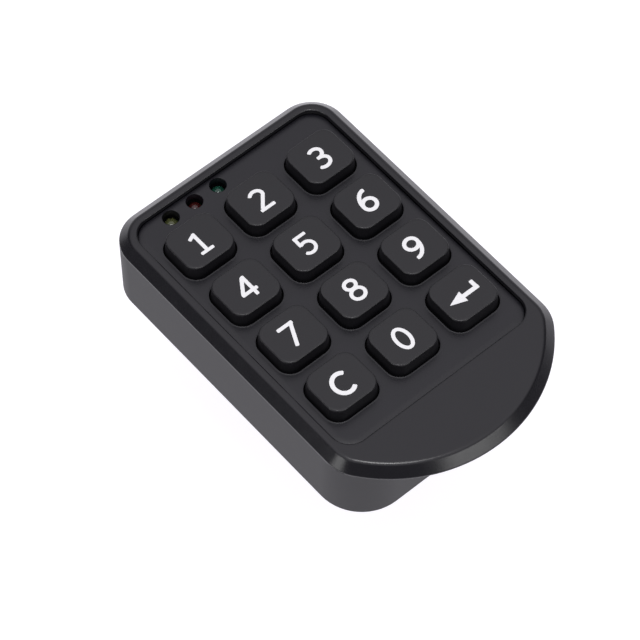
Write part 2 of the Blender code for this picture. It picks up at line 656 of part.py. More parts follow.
def build_cells(cell_finish, holder_finish, contact_finish):
    """Two coin cells in an open holder, a link strip below them and a contact leaf on each."""
    for side, name in ((-1, "coin_cell_left"), (1, "coin_cell_right")):
        cap = CELL_RADIUS - CELL_CAP_INSET
        profile = [
            (cap, CELL_LOW_Z),
            (CELL_RADIUS, CELL_LOW_Z + CELL_CAP_STEP),
            (CELL_RADIUS, CELL_TOP_Z),
        ]
        make(name, [turned(profile)], cell_finish, side * CELL_SPACING / 2, CELL_Y)
    outer = CELL_RADIUS + FIT + HOLDER_WALL
    waist = prism(rectangle(HOLDER_WAIST_WIDTH / 2, HOLDER_WAIST_LENGTH / 2), CELL_LOW_Z, SPRING_LOW_Z)
    holder = make("cell_holder", [waist], holder_finish, 0, CELL_Y)
    rims = []
    pockets = []
    for side in (-1, 1):
        x = side * CELL_SPACING / 2
        rims.append(prism(circle(outer, ROUND_STEPS, x), CELL_LOW_Z, SPRING_LOW_Z))
        pocket = circle(CELL_RADIUS + FIT, ROUND_STEPS, x)
        pockets.append(prism(pocket, CELL_LOW_Z - OVERRUN, SPRING_LOW_Z + OVERRUN))
    join(holder, "left_rim", rims[:1])
    join(holder, "right_rim", rims[1:])
    cut(holder, "pockets", pockets)
    link = rounded(LINK_LENGTH / 2, LINK_WIDTH / 2, LINK_WIDTH / 4)
    make("contact_link", [prism(link, COVER_FLOOR_Z, COVER_FLOOR_Z + CONTACT_THICKNESS)], contact_finish, 0, CELL_Y)
    leaf = rounded(SPRING_LENGTH / 2, SPRING_WIDTH / 2, SPRING_WIDTH / 4)
    for side, name in ((-1, "contact_spring_left"), (1, "contact_spring_right")):
        body = prism(leaf, SPRING_LOW_Z, SPRING_LOW_Z + CONTACT_THICKNESS)
        make(name, [body], contact_finish, side * CELL_SPACING / 2, CELL_Y)


def build_gears(gear_finish, steel, motor_finish):
    """The motor with its pinion, the idler on its pin and the spindle gear, all in mesh at rest."""
    shaft_low = LOWER_GEAR_Z + FIT
    motor = [
        (MOTOR_SHAFT_RADIUS, shaft_low),
        (MOTOR_SHAFT_RADIUS, MOTOR_LOW_Z - MOTOR_NOSE_HEIGHT),
        (MOTOR_NOSE_RADIUS, MOTOR_LOW_Z - MOTOR_NOSE_HEIGHT),
        (MOTOR_NOSE_RADIUS, MOTOR_LOW_Z),
        (MOTOR_RADIUS, MOTOR_LOW_Z),
        (MOTOR_RADIUS, MOTOR_TOP_Z),
    ]
    make("drive_motor", [turned(motor)], motor_finish, MOTOR_X, MOTOR_Y)
    to_idler = MOTOR_BEARING + 180
    to_spindle = IDLER_BEARING + 180
    lower_top = LOWER_GEAR_Z + GEAR_WIDTH
    pinion = make(
        "motor_pinion",
        [prism(gear_outline(PINION_TEETH, to_idler), LOWER_GEAR_Z, lower_top)],
        steel,
        MOTOR_X,
        MOTOR_Y,
    )
    bore = circle(MOTOR_SHAFT_RADIUS + FIT, SMALL_STEPS)
    cut(pinion, "bore", [prism(bore, LOWER_GEAR_Z - OVERRUN, lower_top + OVERRUN)])
    large_first = to_idler + 180 + 180 / IDLER_LARGE_TEETH
    idler = make(
        "idler_gear",
        [prism(gear_outline(IDLER_LARGE_TEETH, large_first), LOWER_GEAR_Z, lower_top)],
        gear_finish,
        IDLER_X,
        IDLER_Y,
    )
    small = gear_outline(IDLER_SMALL_TEETH, to_spindle, SPINDLE_MODULE)
    join(idler, "small", [prism(small, LOWER_GEAR_Z + GEAR_WIDTH / 2, GEARS_TOP_Z)])
    bore = circle(IDLER_PIN_RADIUS + FIT, SMALL_STEPS)
    cut(idler, "bore", [prism(bore, LOWER_GEAR_Z - OVERRUN, GEARS_TOP_Z + OVERRUN)])
    pin = prism(circle(IDLER_PIN_RADIUS, SMALL_STEPS), COVER_TOP_Z - IDLER_PIN_SEAT + FIT, PLATE_TOP_Z)
    make("idler_pin", [pin], steel, IDLER_X, IDLER_Y)
    spindle_first = to_spindle + 180 + 180 / SPINDLE_TEETH
    wheel = make(
        "spindle_gear",
        [prism(gear_outline(SPINDLE_TEETH, spindle_first, SPINDLE_MODULE), UPPER_GEAR_Z, GEARS_TOP_Z)],
        gear_finish,
        0,
        SPINDLE_Y,
    )
    flag_root = SPINDLE_MODULE * (SPINDLE_TEETH / 2 - DEDENDUM_SHARE) - BITE
    flag_half = (FLAG_REACH - flag_root) / 2
    flag = rounded(flag_half, FLAG_WIDTH / 2, FLAG_WIDTH / 4, x=-FLAG_REACH + flag_half)
    join(wheel, "flag", [prism(flag, FLAG_LOW_Z, FLAG_TOP_Z)])
    seat = circle(SPINDLE_SEAT_RADIUS + FIT, SMALL_STEPS)
    cut(wheel, "seat", [prism(seat, UPPER_GEAR_Z - OVERRUN, GEARS_TOP_Z + OVERRUN)])


def build_gear_plate(material):
    """The steel plate over the gears, held on the cover's four posts."""
    half_x = (POST_RIGHT_X - POST_LEFT_X) / 2 + PLATE_MARGIN
    half_y = POST_OUT_Y + PLATE_MARGIN
    outline = rounded(half_x, half_y, PLATE_CORNER, x=(POST_LEFT_X + POST_RIGHT_X) / 2)
    plate = make("gear_plate", [prism(outline, PLATE_LOW_Z, PLATE_TOP_Z)], material, 0, SPINDLE_Y)
    low = PLATE_LOW_Z - OVERRUN
    high = PLATE_TOP_Z + OVERRUN
    places = [(x, y - SPINDLE_Y, POST_PIN_RADIUS) for x, y in POSTS]
    places.append((IDLER_X, IDLER_Y - SPINDLE_Y, IDLER_PIN_RADIUS))
    places.append((0, 0, SPINDLE_PIVOT_RADIUS))
    holes = [prism(circle(radius + FIT, SMALL_STEPS, x, y), low, high) for x, y, radius in places]
    cut(plate, "holes", holes)


def build_cover(material):
    """The back cover with its posts, the barrel's hole and the screws' counterbores."""
    cover = make("back_cover", [prism(case_inner_outline(FIT), 0, COVER_TOP_Z)], material)
    posts = []
    for x, y in POSTS:
        profile = [
            (POST_RADIUS, COVER_TOP_Z - BITE),
            (POST_RADIUS, PLATE_LOW_Z - FIT),
            (POST_PIN_RADIUS, PLATE_LOW_Z - FIT),
            (POST_PIN_RADIUS, PLATE_TOP_Z),
        ]
        posts.append(turned(profile, SMALL_STEPS, x, y))
    join(cover, "posts", posts)
    hole = double_flat(BARREL_RADIUS + FIT, BARREL_FLATS + 2 * FIT, 0, SPINDLE_Y)
    holes = [prism(hole, -OVERRUN, COVER_TOP_Z + OVERRUN)]
    seat = circle(IDLER_PIN_RADIUS + FIT, SMALL_STEPS, IDLER_X, IDLER_Y)
    holes.append(prism(seat, COVER_TOP_Z - IDLER_PIN_SEAT, COVER_TOP_Z + OVERRUN))
    step = COVER_SCREW_SINK + COVER_SCREW_HEAD_HEIGHT + FIT
    for x, y in BOSSES:
        wide = circle(COVER_SCREW_HEAD_RADIUS + FIT, SMALL_STEPS, x, y)
        narrow = circle(COVER_SCREW_RADIUS + FIT, SMALL_STEPS, x, y)
        holes.append([(wide, -OVERRUN), (wide, step), (narrow, step), (narrow, COVER_TOP_Z + OVERRUN)])
    cut(cover, "holes", holes)


def build_screw(name, material, x, y, head_low, head_radius, head_height, shank_radius, shank_length):
    """A pan-head screw that points up, with a cross recess in its head."""
    head_top = head_low + head_height
    profile = [
        (head_radius - head_height / 3, head_low),
        (head_radius, head_low + head_height / 3),
        (head_radius, head_top),
        (shank_radius, head_top),
        (shank_radius, head_top + shank_length),
    ]
    screw = make(name, [turned(profile, SMALL_STEPS)], material, x, y)
    slot = cross(head_radius * SLOT_LENGTH_SHARE, head_radius * SLOT_WIDTH_SHARE)
    cut(screw, "recess", [prism(slot, head_low - OVERRUN, head_low + head_height * SLOT_DEPTH_SHARE)])


def build_spindle(steel):
    """The spindle: a pivot, a gear seat, a collar, a round shaft and a square end with a screw hole."""
    collar_top = UPPER_GEAR_Z - FIT
    profile = [
        (SPINDLE_RADIUS, SPINDLE_STEP_Z),
        (SPINDLE_RADIUS, FLANGE_LEVEL_Z + FIT),
        (SPINDLE_COLLAR_RADIUS, FLANGE_LEVEL_Z + FIT),
        (SPINDLE_COLLAR_RADIUS, collar_top),
        (SPINDLE_SEAT_RADIUS, collar_top),
        (SPINDLE_SEAT_RADIUS, GEARS_TOP_Z),
        (SPINDLE_PIVOT_RADIUS, GEARS_TOP_Z),
        (SPINDLE_PIVOT_RADIUS, PLATE_TOP_Z),
    ]
    spindle = make("spindle", [turned(profile)], steel, 0, SPINDLE_Y)
    half = SPINDLE_SQUARE / 2
    join(spindle, "square", [prism(rectangle(half, half), SPINDLE_END_Z, SPINDLE_STEP_Z + OVERRUN)])
    hole = circle(CAM_SCREW_RADIUS + FIT, SMALL_STEPS)
    depth_top = CAM_SCREW_HEAD_TOP_Z + CAM_SCREW_LENGTH + FIT
    cut(spindle, "screw_hole", [prism(hole, SPINDLE_END_Z - OVERRUN, depth_top)])


def build_barrel(brass):
    """The flatted barrel with its inner flange, and the nut and toothed washer that clamp it to the door."""
    barrel = make(
        "barrel",
        [prism(double_flat(BARREL_RADIUS, BARREL_FLATS), BARREL_END_Z, COVER_FLOOR_Z + BITE)],
        brass,
        0,
        SPINDLE_Y,
    )
    join(barrel, "flange", [prism(circle(BARREL_RADIUS + BARREL_FLANGE), COVER_FLOOR_Z, FLANGE_LEVEL_Z)])
    bore = circle(SPINDLE_RADIUS + FIT)
    cut(barrel, "bore", [prism(bore, BARREL_END_Z - OVERRUN, FLANGE_LEVEL_Z + OVERRUN)])


def build_nut(material):
    """The hexagon nut on the barrel."""
    low = NUT_TOP_Z - NUT_THICKNESS
    full = NUT_FLATS / math.sqrt(3)
    sections = [
        (circle(full - NUT_CHAMFER, 6), low),
        (circle(full, 6), low + NUT_CHAMFER),
        (circle(full, 6), NUT_TOP_Z - NUT_CHAMFER),
        (circle(full - NUT_CHAMFER, 6), NUT_TOP_Z),
    ]
    nut = make("barrel_nut", [sections], material, 0, SPINDLE_Y)
    cut(nut, "bore", [prism(circle(BARREL_RADIUS + FIT), low - OVERRUN, NUT_TOP_Z + OVERRUN)])


def build_lock_washer(material):
    """The washer with teeth round its rim."""
    points = []
    pitch = 360 / LOCK_WASHER_TEETH
    for i in range(LOCK_WASHER_TEETH):
        points += arc(0, 0, LOCK_WASHER_RADIUS - LOCK_WASHER_TOOTH, i * pitch, (i + 0.5) * pitch, 1)
        points += arc(0, 0, LOCK_WASHER_RADIUS, (i + 0.5) * pitch, (i + 1) * pitch, 1)
    low = WASHER_TOP_Z - LOCK_WASHER_THICKNESS
    washer = make("lock_washer", [prism(points, low, WASHER_TOP_Z)], material, 0, SPINDLE_Y)
    cut(washer, "bore", [prism(circle(BARREL_RADIUS + FIT), low - OVERRUN, WASHER_TOP_Z + OVERRUN)])


def build_cam(material):
    """The cam: a round head on the spindle's square and a straight tongue that points to +Y when locked."""
    half = CAM_WIDTH / 2
    lean = math.degrees(math.asin(half / CAM_HEAD_RADIUS))
    corner_y = CAM_LENGTH - CAM_TIP_CORNER
    points = arc(0, 0, CAM_HEAD_RADIUS, 90 + lean, 450 - lean, ROUND_STEPS)
    points += arc(half - CAM_TIP_CORNER, corner_y, CAM_TIP_CORNER, 0, 90, CORNER_STEPS)
    points += arc(-half + CAM_TIP_CORNER, corner_y, CAM_TIP_CORNER, 90, 180, CORNER_STEPS)
    cam = make("cam", [prism(points, CAM_LOW_Z, CAM_TOP_Z)], material, 0, SPINDLE_Y)
    hole = SPINDLE_SQUARE / 2 + FIT
    cut(cam, "square", [prism(rectangle(hole, hole), CAM_LOW_Z - OVERRUN, CAM_TOP_Z + OVERRUN)])


def build_cam_washer(material):
    """The flat washer under the cam screw's head."""
    low = CAM_WASHER_TOP_Z - CAM_WASHER_THICKNESS
    washer = make("cam_washer", [prism(circle(CAM_WASHER_RADIUS), low, CAM_WASHER_TOP_Z)], material, 0, SPINDLE_Y)
    hole = circle(CAM_SCREW_RADIUS + FIT, SMALL_STEPS)
    cut(washer, "hole", [prism(hole, low - OVERRUN, CAM_WASHER_TOP_Z + OVERRUN)])


def main():
    clear_scene()
    charcoal = finish("charcoal_plastic", (0.050, 0.050, 0.056), 0.55)
    side_grey = finish("case_grey", (0.085, 0.085, 0.092), 0.40)
    key_grey = finish("key_grey", (0.055, 0.055, 0.061), 0.50)
    rubber = finish("silicone", (0.45, 0.45, 0.46), 0.70)
    board_green = finish("board_green", (0.02, 0.14, 0.06), 0.45)
    black = finish("black_moulding", (0.02, 0.02, 0.02), 0.45)
    steel = finish("zinc_steel", (0.62, 0.62, 0.60), 0.30, 1.0)
    nickel = finish("nickel_brass", (0.60, 0.57, 0.50), 0.28, 1.0)
    white_nylon = finish("white_nylon", (0.80, 0.79, 0.74), 0.40)
    motor_can = finish("motor_can", (0.50, 0.50, 0.52), 0.25, 1.0)
    lamps = {
        "led_yellow": finish("lamp_yellow", (0.30, 0.22, 0.01), 0.15),
        "led_red": finish("lamp_red", (0.22, 0.008, 0.008), 0.15),
        "led_green": finish("lamp_green", (0.01, 0.10, 0.02), 0.15),
    }
    build_case(side_grey)
    build_panel(charcoal)
    build_keys(key_grey)
    build_mat(rubber)
    build_board(board_green)
    build_lamps(lamps)
    build_electronics(black, steel)
    build_cells(steel, black, nickel)
    build_gears(white_nylon, steel, motor_can)
    build_gear_plate(steel)
    build_cover(charcoal)
    for number, (x, y) in enumerate(BOSSES, start=1):
        build_screw(
            "cover_screw_" + str(number),
            steel,
            x,
            y,
            COVER_SCREW_SINK,
            COVER_SCREW_HEAD_RADIUS,
            COVER_SCREW_HEAD_HEIGHT,
            COVER_SCREW_RADIUS,
            COVER_SCREW_LENGTH,
        )
    build_spindle(steel)
    build_barrel(nickel)
    build_nut(nickel)
    build_lock_washer(steel)
    build_cam(steel)
    build_cam_washer(steel)
    build_screw(
        "cam_screw",
        steel,
        0,
        SPINDLE_Y,
        CAM_SCREW_HEAD_TOP_Z - CAM_SCREW_HEAD_HEIGHT,
        CAM_SCREW_HEAD_RADIUS,
        CAM_SCREW_HEAD_HEIGHT,
        CAM_SCREW_RADIUS,
        CAM_SCREW_LENGTH,
    )


main()
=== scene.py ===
"""Electronic cabinet lock, dressed: the moulded case and keypad, and the metal lock behind the door."""
import json
import math
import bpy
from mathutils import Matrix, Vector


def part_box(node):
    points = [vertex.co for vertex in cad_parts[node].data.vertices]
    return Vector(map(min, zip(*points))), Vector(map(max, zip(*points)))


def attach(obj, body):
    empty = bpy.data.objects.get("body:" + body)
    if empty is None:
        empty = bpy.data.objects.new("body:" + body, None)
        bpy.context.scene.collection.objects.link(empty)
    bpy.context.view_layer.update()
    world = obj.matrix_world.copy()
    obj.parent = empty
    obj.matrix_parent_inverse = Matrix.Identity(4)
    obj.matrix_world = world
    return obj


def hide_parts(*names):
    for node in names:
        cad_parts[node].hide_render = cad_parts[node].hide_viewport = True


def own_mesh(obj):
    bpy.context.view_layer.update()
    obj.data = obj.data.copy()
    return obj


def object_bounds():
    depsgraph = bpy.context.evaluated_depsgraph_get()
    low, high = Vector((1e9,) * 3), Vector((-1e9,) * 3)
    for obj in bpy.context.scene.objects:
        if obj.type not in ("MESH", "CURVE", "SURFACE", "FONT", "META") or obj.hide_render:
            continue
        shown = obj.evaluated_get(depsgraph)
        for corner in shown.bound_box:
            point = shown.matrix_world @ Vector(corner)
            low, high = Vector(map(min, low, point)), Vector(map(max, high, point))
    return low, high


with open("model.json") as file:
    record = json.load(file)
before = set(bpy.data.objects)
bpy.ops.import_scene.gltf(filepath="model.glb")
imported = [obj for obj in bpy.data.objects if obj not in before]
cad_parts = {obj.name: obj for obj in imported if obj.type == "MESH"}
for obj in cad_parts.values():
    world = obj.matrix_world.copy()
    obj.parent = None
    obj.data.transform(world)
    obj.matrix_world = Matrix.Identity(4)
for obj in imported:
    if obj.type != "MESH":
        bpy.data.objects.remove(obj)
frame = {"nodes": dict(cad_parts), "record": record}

from types import SimpleNamespace

import bmesh
import bpy
from bpy.props import FloatProperty, FloatVectorProperty, PointerProperty
from mathutils import Vector

bl_info = {
    "name": "Electronic cabinet lock",
    "version": (1, 0, 0),
    "blender": (4, 5, 0),
    "location": "3D View > Sidebar > Cabinet lock",
    "description": "Builds the fine meshes, finishes and studio of a keypad cabinet lock around its frame",
    "category": "Object",
}

# The frame's box before anything was added
CAD_BOX = [list(corner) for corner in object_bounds()]

# A millimetre, and the clearance between pieces
MM = 0.001
FIT = 0.3 * MM

# How far a cutter runs past what it cuts, and how far a joined body sinks in
OVERRUN = 1.0 * MM
BITE = 0.5 * MM

# How near two points are to be one
MERGE = 0.001 * MM

# Steps round curves
CORNER_STEPS = 14
BOTTOM_STEPS = 24
LIP_CORNER_STEPS = 6
LIP_STEPS = 2 * CORNER_STEPS + BOTTOM_STEPS - 2 * LIP_CORNER_STEPS - 2
EDGE_STEPS = 4
TURNED_STEPS = 72
SMALL_STEPS = 36
FINE_STEPS = 8

# Degrees in each step of a figure's curve
BOW_STEP = 7.5

# How near a corner of a stroke's path a point counts as on it, as a share of the stretch after it
CORNER_SHARE = 0.01

# How far a stroke's soft ends keep clear of other points, in radii of those ends
END_CLEAR = 1.2

# Share of its rise that a bead reaches halfway across
BEAD_SHARE = 0.7

# Where most values of a noise lie
NOISE_RANGE = (0.3, 0.7)

# Teeth round the lock washer
WASHER_TEETH = 20

# A screw's crown, as a share of its head, and the power that rounds it
CROWN_SHARE = 0.7
CROWN_POWER = 2.4

# A cross recess's arms and slots as shares of the head's radius, and its depth as one of the head's height
ARM_SHARE = 0.62
SLOT_SHARE = 0.17
RECESS_SHARE = 0.62

# How much a cross recess narrows, as a share of its arms, and opens, as one of its depth
TAPER_SHARE = 0.62
FLARE_SHARE = 0.3

# A screw's thread depth and the end of its point, as shares of its shank's radius
SCREW_THREAD_SHARE = 0.22
POINT_SHARE = 0.55

KEYS = ["key_" + mark for mark in (*"123456789", "clear", "0", "enter")]
LAMPS = ["led_yellow", "led_red", "led_green"]
COVER_SCREWS = ["cover_screw_" + number for number in "1234"]

# Each light's direction from the lock, its distance, its width and its height, in metres
SOFTBOXES = {
    "softbox_left": ((-0.89, 0.06, 0.44), 1.0, 0.34, 0.30),
    "softbox_front": ((0.18, -0.87, 0.45), 1.0, 0.64, 0.30),
    "light_above": ((-0.06, -0.08, 1.0), 1.2, 0.30, 0.30),
}


def length(label, text, value):
    """A length that a user can change, given in millimetres."""
    return FloatProperty(name=label, description=text, default=value * MM, unit="LENGTH", precision=5)


def share(label, text, value):
    """A share of something, from 0 to 1."""
    return FloatProperty(name=label, description=text, default=value, min=0, max=1, subtype="FACTOR")


def angle(label, text, value):
    """An angle, given in degrees."""
    return FloatProperty(name=label, description=text, default=math.radians(value), subtype="ANGLE")


def strength(label, text, value, unit="NONE"):
    """How strong a light is."""
    return FloatProperty(name=label, description=text, default=value, unit=unit)


def colour(label, text, value):
    """A colour that a user can change."""
    limits = {"min": 0, "max": 1, "size": 3}
    return FloatVectorProperty(name=label, description=text, default=value, subtype="COLOR", **limits)


class CaseSizes(bpy.types.PropertyGroup):
    """Sizes of the moulded case that the frame's boxes don't give."""

    wall: length("Wall", "Thickness of the side walls", 2.2)
    web: length("Web", "Thickness of the web under the panel", 1.4)
    panel_gap: length("Panel gap", "Gap round the panel in its recess", 0.4)
    recess_corner: length("Recess corner", "Corner radius of the panel's recess", 4.5)
    chamfer: length("Chamfer", "Width and height of the chamfer round the front", 2.15)
    crest: length("Crest", "Radius where the rim turns into the chamfer", 1.25)
    brow: length("Brow", "Radius where the chamfer turns into the wall", 0.35)
    rim_edge: length("Rim edge", "Radius on the recess's upper edge", 0.35)
    top_corner: length("Top corner", "Radius of the two corners at the keypad's top", 7.8)
    bottom_corner: length("Bottom corner", "Radius of the body's two corners under the lip", 10.6)
    lip_bulge: length("Lip bulge", "How much the lip's radius is larger than half the case's width", 5.0)
    lip_corner: length("Lip corner", "Radius where the sides turn into the lip", 9.0)
    lip_edge: length("Lip edge", "Height of the lip's upright edge", 0.4)
    lip_round: length("Lip round", "Radius under the lip's edge", 0.18)
    lip_fillet: length("Lip fillet", "Radius between the lip's underside and the body", 0.8)
    foot_edge: length("Foot edge", "Radius on the case's back edge", 0.3)
    boss_radius: length("Boss radius", "Radius of the screw bosses", 3.0)
    pilot_radius: length("Pilot radius", "Radius of the screws' pilot holes", 1.3)
    pilot_top: length("Pilot top", "Height of the pilot holes' ends", 9.9)


class KeypadSizes(bpy.types.PropertyGroup):
    """Sizes of the panel, the keys with their figures, the lamps and the mat."""

    panel_edge: length("Panel edge", "Radius on the panel's outer edge", 0.15)
    panel_fall: length("Panel fall", "How far the panel's face falls to its outer edge", 0.15)
    shoulder: length("Shoulder", "Width of the band where the panel's face falls", 1.25)
    shoulder_round: length("Shoulder round", "Radius where the panel's face starts to fall", 6.0)
    seam: length("Seam", "Visible gap round the panel", 0.08)
    opening_edge: length("Opening edge", "Radius round each key's opening in the panel", 0.10)
    bead: length("Bead", "Width of the raised bead round each key's opening", 0.40)
    bead_rise: length("Bead rise", "Height of the raised bead round each key's opening", 0.08)
    bore_radius: length("Bore radius", "Radius of the lamp bores in the panel", 1.75)
    bore_edge: length("Bore edge", "Radius on the lamp bores' upper edges", 0.22)
    flange: length("Flange", "Width of the flange round a key's foot", 0.8)
    flange_height: length("Flange height", "Thickness of a key's flange", 0.8)
    draft: length("Draft", "How much a key narrows above the panel", 0.30)
    key_corner: length("Key corner", "Corner radius of a key's flat top", 2.7)
    key_edge: length("Key edge", "Radius on a key's upper edge", 0.32)
    stroke: length("Stroke", "Width of the printed figures' strokes", 0.85)
    stroke_end: length("Stroke end", "Radius on the corners of a stroke's ends", 0.25)
    print_height: length("Print height", "How far the print stands on a key's top", 0.02)
    lamp_radius: length("Lamp radius", "Radius of a lamp's body", 1.5)
    lamp_dome: length("Lamp dome", "Height of the lamps' domes", 1.15)
    lamp_flange: length("Lamp flange", "Height of a lamp's flange", 1.0)
    dome_base: length("Dome base", "Radius of a silicone dome at its foot", 4.4)
    dome_tip: length("Dome tip", "Radius of a silicone dome at its top", 2.4)
    sheet: length("Sheet", "Thickness of the silicone sheet", 0.8)
    mat_corner: length("Mat corner", "Corner radius of the silicone sheet", 3.0)


class LatchSizes(bpy.types.PropertyGroup):
    """Sizes of the back cover, the barrel, its nut and washers, the cam and the screws."""

    barrel_flats: length("Barrel flats", "Distance between the barrel's two flats", 16.0)
    barrel_radius: length("Barrel radius", "Radius over the barrel's thread", 9.5)
    barrel_bore: length("Barrel bore", "Radius of the spindle's hole in the barrel", 4.3)
    pitch: length("Pitch", "Pitch of the barrel's thread", 1.0)
    thread_depth: length("Thread depth", "Depth of the barrel's thread", 0.55)
    cover: length("Cover", "Thickness of the back cover", 2.0)
    post: length("Post", "Radius of the cover's posts", 1.5)
    post_pin: length("Post pin", "Radius of the pins on the cover's posts", 0.8)
    post_margin: length("Post margin", "From the gear plate's edges to the posts", 2.2)
    nut_face: length("Nut face", "Radius of the nut's flat end faces", 11.3)
    nut_turned: length("Nut turned", "Height over which the nut's corners are turned off", 1.15)
    nut_slope: angle("Nut slope", "Slope of the nut's turned corners", 30.0)
    washer_root: length("Washer root", "Radius at the roots of the washer's teeth", 11.6)
    washer_twist: length("Washer twist", "How far each washer tooth is bent up and down", 0.22)
    cam_half: length("Cam half", "Half the width of the cam's arm", 7.0)
    cam_corner: length("Cam corner", "Corner radius at the cam's tip", 3.0)
    cam_edge: length("Cam edge", "Radius on the cam's stamped edges", 0.35)
    square: length("Square", "Width of the spindle's square end", 5.6)
    counterbore: length("Counterbore", "Radius of the cover screws' counterbores", 2.5)
    counterbore_depth: length("Counterbore depth", "Depth of the cover screws' counterbores", 1.3)
    cover_shank: length("Cover shank", "Radius of the cover screws' shanks", 1.0)
    cover_head: length("Cover head", "Height of the cover screws' heads", 0.9)
    cover_pitch: length("Cover pitch", "Pitch of the cover screws' threads", 0.8)
    cam_shank: length("Cam shank", "Radius of the cam screw's shank", 1.5)
    cam_pitch: length("Cam pitch", "Pitch of the cam screw's thread", 0.6)
    cam_screw_head: length("Cam screw head", "Height of the cam screw's head", 2.4)


class Finishes(bpy.types.PropertyGroup):
    """Colours of the finishes."""

    case: colour("Case", "Dark grey of the moulded case", (0.0078, 0.0075, 0.0098))
    panel: colour("Panel", "Dark grey of the keypad panel", (0.0072, 0.0068, 0.0102))
    keycap: colour("Keycap", "Dark grey of the keys", (0.0088, 0.0085, 0.0104))
    figure: colour("Figures", "White of the printed figures", (0.97, 0.97, 0.97))
    yellow: colour("Yellow lamp", "Tinted resin of the yellow lamp", (0.078, 0.086, 0.032))
    red: colour("Red lamp", "Tinted resin of the red lamp", (0.046, 0.0062, 0.0058))
    green: colour("Green lamp", "Tinted resin of the green lamp", (0.010, 0.062, 0.040))
    black: colour("Black", "Black of the cell holder and buzzer", (0.012, 0.012, 0.013))
    chip: colour("Chip", "Black of the controller chip", (0.016, 0.016, 0.017))
    can: colour("Can", "Steel of the motor's and switch's cans", (0.55, 0.55, 0.56))
    silicone: colour("Silicone", "Grey of the silicone mat", (0.42, 0.43, 0.44))
    zinc: colour("Zinc", "Zinc-plated steel", (0.46, 0.47, 0.49))
    nickel: colour("Nickel", "Nickel-plated brass", (0.66, 0.62, 0.55))
    nylon: colour("Nylon", "Natural white of the gears", (0.74, 0.72, 0.65))


class Studio(bpy.types.PropertyGroup):
    """Camera, lights and floor."""

    azimuth: angle("Azimuth", "Camera's turn round the lock", -40.5335)
    elevation: angle("Elevation", "Camera's angle above the floor", 57.5404)
    distance: length("Distance", "Camera's distance from its target", 638.2)
    lens: FloatProperty(
        name="Lens",
        description="Camera's focal length in millimetres, on a 36 mm sensor",
        default=179.8,
        unit="CAMERA",
    )
    target_x: length("Target X", "Where the camera looks, to the right", -8.45)
    target_y: length("Target Y", "Where the camera looks, to the top", -5.08)
    target_z: length("Target Z", "Where the camera looks, in height", 16.66)
    zenith: strength("Zenith", "Brightness of the light tent overhead", 1.00)
    zenith_starts: share("Zenith starts", "Height where the tent starts to brighten", 0.55)
    zenith_full: share("Zenith full", "Height where the tent is at its brightest", 0.85)
    horizon: strength("Horizon", "Brightness of the light tent at the horizon", 0.12)
    backdrop: strength("Backdrop", "Brightness of the backdrop behind the lock", 0.63)
    backdrop_starts: share("Backdrop starts", "How far behind the lock the backdrop starts", 0.45)
    backdrop_full: share("Backdrop full", "How far behind the lock it is at its brightest", 0.80)
    left_power: strength("Left softbox", "Power of the softbox on the left", 1.15, "POWER")
    front_power: strength("Front softbox", "Power of the softbox before the lip", 1.95, "POWER")
    top_power: strength("Top light", "Power of the light straight overhead", 3.2, "POWER")
    floor: share("Floor", "How light the floor is", 0.35)
    floor_reach: length("Floor reach", "From the floor's middle to its edge", 6000.0)
    glow: share("Glow", "How bright the floor shines by itself", 0.92)
    tint: colour("Tint", "Slight blue of the light tent and the floor", (0.955, 0.935, 1.0))


# Outlines, in metres, seen from the front

def arc(x, y, radius, start, end, steps):
    """Points along an arc from start to end, in degrees, both ends included."""
    points = []
    for i in range(steps + 1):
        angle = math.radians(start + (end - start) * i / steps)
        points.append((x + radius * math.cos(angle), y + radius * math.sin(angle)))
    return points


def circle(radius, steps=TURNED_STEPS, x=0, y=0):
    """A closed round outline."""
    return arc(x, y, radius, 0, 360, steps)[:-1]


def rounded(half_x, half_y, radius, x=0, y=0, steps=CORNER_STEPS):
    """A closed rectangle with rounded corners."""
    points = []
    for side_x, side_y, start in ((1, -1, -90), (1, 1, 0), (-1, 1, 90), (-1, -1, 180)):
        corner_x = x + side_x * (half_x - radius)
        corner_y = y + side_y * (half_y - radius)
        points += arc(corner_x, corner_y, radius, start, start + 90, steps)
    return points


def case_outline(half_x, low_y, high_y, low_radius, high_radius, inset=0):
    """A rounded rectangle whose lower edge has as many points as the lip's outline."""
    inner_x = half_x - low_radius
    high_x = half_x - high_radius
    start_y = low_y + low_radius
    points = arc(-inner_x, start_y, low_radius - inset, 180, 270, CORNER_STEPS)
    for i in range(1, BOTTOM_STEPS):
        points.append((-inner_x + 2 * inner_x * i / BOTTOM_STEPS, low_y + inset))
    points += arc(inner_x, start_y, low_radius - inset, 270, 360, CORNER_STEPS)
    points += arc(high_x, high_y - high_radius, high_radius - inset, 0, 90, CORNER_STEPS)
    points += arc(-high_x, high_y - high_radius, high_radius - inset, 90, 180, CORNER_STEPS)
    return points


def front_outline(p, inset=0):
    """The front's outline: straight sides, round top corners and the lip's wide arc."""
    small = p.lip_corner - inset
    points = [(-p.half_x + inset, p.start_y)]
    points += arc(-p.corner_x, p.corner_y, small, 180, 180 + p.turn, LIP_CORNER_STEPS)
    points += arc(0, p.lip_y, p.lip_radius - inset, 180 + p.turn, 360 - p.turn, LIP_STEPS)[1:-1]
    points += arc(p.corner_x, p.corner_y, small, 360 - p.turn, 360, LIP_CORNER_STEPS)
    points += [(p.half_x - inset, p.start_y)]
    top_x = p.half_x - p.top_corner
    top_y = p.half_y - p.top_corner
    points += arc(top_x, top_y, p.top_corner - inset, 0, 90, CORNER_STEPS)
    points += arc(-top_x, top_y, p.top_corner - inset, 90, 180, CORNER_STEPS)
    return points


def quarter(radius):
    """A quarter round from upright to level, as steps across and up."""
    turns = [math.pi / 2 * i / EDGE_STEPS for i in range(EDGE_STEPS + 1)]
    return [(radius * (1 - math.cos(turn)), radius * math.sin(turn)) for turn in turns]


